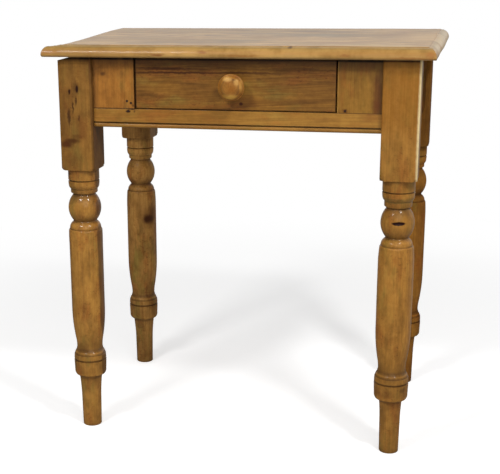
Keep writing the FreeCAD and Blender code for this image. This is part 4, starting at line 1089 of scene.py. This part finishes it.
def nail_tree():
    """Node group: a turned-at-random head facing the front at each point of the input mesh."""
    tree = geometry_group("nail_heads", {
        "Places": "Geometry", "Head radius": "Float", "Head height": "Float", "Sides": "Int", "Seed": "Int",
        "Finish": "Material"})
    add = partial(put, tree)
    given = add("NodeGroupInput", give=None)
    tip = add("MULTIPLY", [given["Head radius"], 0.72])
    head = add("GeometryNodeMeshCone", {
        "Vertices": given["Sides"], "Radius Top": tip, "Radius Bottom": given["Head radius"],
        "Depth": given["Head height"]}, "Mesh")
    forward = add("GeometryNodeTransform", {"Geometry": head, "Rotation": (math.pi / 2, 0, 0)})
    turn = add("FunctionNodeRandomValue", {
        "Min": 0.0, "Max": math.tau, "Seed": given["Seed"]}, "Value", data_type="FLOAT")
    around = add("ShaderNodeCombineXYZ", {"Y": turn})
    rotation = add("FunctionNodeEulerToRotation", [around])
    set_on = add("GeometryNodeInstanceOnPoints", {
        "Points": given["Places"], "Instance": forward, "Rotation": rotation})
    end_group(tree, set_on, given["Finish"])
    return tree


nail_places = bpy.data.meshes.new("nail_places")
nail_places.from_pydata([(x * MM, NAIL_FACE_Y * MM, z * MM) for x, z in NAILS], [], [])
nails = plain_mesh("nail_heads", nail_places, nail_tree(), {
    "Head radius": 2.3 * MM, "Head height": 0.9 * MM, "Sides": 14, "Seed": 4, "Finish": rusted_iron()})
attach(nails, "table")
print("faces in the nail heads:", len(nails.data.polygons))

# %% [markdown]
# The studio is a pale floor, a broad lamp in front and two small ones halfway up at either
# side, which put the twin sparks on each turned ball. The air gives a plain, even level.
# Paper-white shows to the camera and behind the table in the gloss of the wax, while the room
# in front and on the left stays dark, so the polish lies on the top and on right-hand edges.
# The floor still keeps the soft shadow of the table.

# %% Paper floor
FLOOR_HALF = 40
WINDOW_SIDE = (0.45, 0.89, 0)
AMBIENT, PAPER_LIFT = 0.42, 0.45
floor_mesh = bpy.data.meshes.new("studio_floor")
floor_mesh.from_pydata([(-FLOOR_HALF, -FLOOR_HALF, 0), (FLOOR_HALF, -FLOOR_HALF, 0),
                        (FLOOR_HALF, FLOOR_HALF, 0), (-FLOOR_HALF, FLOOR_HALF, 0)], [], [(0, 1, 2, 3)])
show("studio_floor", floor_mesh)


def towards_window(tree, place, low, high, dim):
    """1 for places or directions behind and to the right of the table, dim for those in front."""
    side = put(tree, "VECTOR_DOT_PRODUCT", [place, WINDOW_SIDE], "Value")
    return put(tree, "SMOOTH", [side, low, high, dim, 1.0])


def seen_rays(tree):
    """Which rays see the studio straight or through something, and which see it in a gloss."""
    rays = put(tree, "ShaderNodeLightPath", give=None)
    through = put(tree, "MAXIMUM", [rays["Is Camera Ray"], rays["Is Transmission Ray"]])
    return through, rays["Is Glossy Ray"]


paper = bpy.data.materials.new("white_paper_floor")
add = partial(put, empty_tree(paper))
through, glossy = seen_rays(paper.node_tree)
spot = add("ShaderNodeTexCoord", give="Object")
away = add("VECTOR_LENGTH", [spot], "Value")
far = add("SMOOTH", [away, 0.7, 1.7])
matt = add("ShaderNodeBsdfDiffuse", {"Color": (0.8, 0.8, 0.8, 1)})
lift = add("MULTIPLY", [through, PAPER_LIFT])
lift = add("ShaderNodeEmission", {"Color": (1, 1, 1, 1), "Strength": lift})
near = add("ShaderNodeAddShader", [matt, lift])
white = add("ShaderNodeEmission", {"Color": (1, 1, 1, 1), "Strength": 1.0})
share = add("MULTIPLY", [through, far])
both = add("ShaderNodeMixShader", [share, near, white])
level = towards_window(paper.node_tree, spot, -0.4, 1.2, 0.1)
mirrored = add("ShaderNodeEmission", {"Color": (0.4, 0.4, 0.4, 1), "Strength": level})
whole = add("ShaderNodeMixShader", [glossy, both, mirrored])
add("ShaderNodeOutputMaterial", [whole])
floor_mesh.materials.append(paper)
print("nodes in the paper:", len(paper.node_tree.nodes))

# %% [markdown]
# The air is one colour all round, so it fills the shadows evenly. Only in a gloss is it darker
# in front of the table than behind.

# %% Air and lamps
world = bpy.data.worlds.new("studio_air")
add = partial(put, empty_tree(world))
through, glossy = seen_rays(world.node_tree)
direction = add("ShaderNodeTexCoord", give="Generated")
in_gloss = towards_window(world.node_tree, direction, 0.15, 0.55, 0.06)
level = add("ShaderNodeMix", {0: glossy, 2: AMBIENT, 3: in_gloss})
level = add("ShaderNodeMix", {0: through, 2: level, 3: 1.0})
air = add("ShaderNodeBackground", {"Color": (1, 1, 1, 1), "Strength": level})
add("ShaderNodeOutputWorld", [air])
bpy.context.scene.world = world


def softbox(name, place, aim, wide, high, power):
    """A flat soft lamp that faces a point."""
    light = bpy.data.lights.new(name, "AREA")
    light.shape, light.size, light.size_y, light.energy = "RECTANGLE", wide, high, power
    lamp = show(name, light)
    lamp.location = place
    lamp.rotation_euler = (Vector(aim) - Vector(place)).to_track_quat("-Z", "Y").to_euler()


softbox("lamp_left", (-0.85, -1.7, 2.03), (-0.1, -0.1, 0.5), 0.5, 0.22, 20)
softbox("lamp_right", (1.03, -1.14, 2.07), (0, -0.1, 0.5), 0.25, 0.25, 19)
softbox("lamp_front", (0.9, -2.6, 1.5), (0, -0.1, 0.4), 1.8, 1.8, 15)
bpy.context.scene.view_settings.view_transform = "Standard"
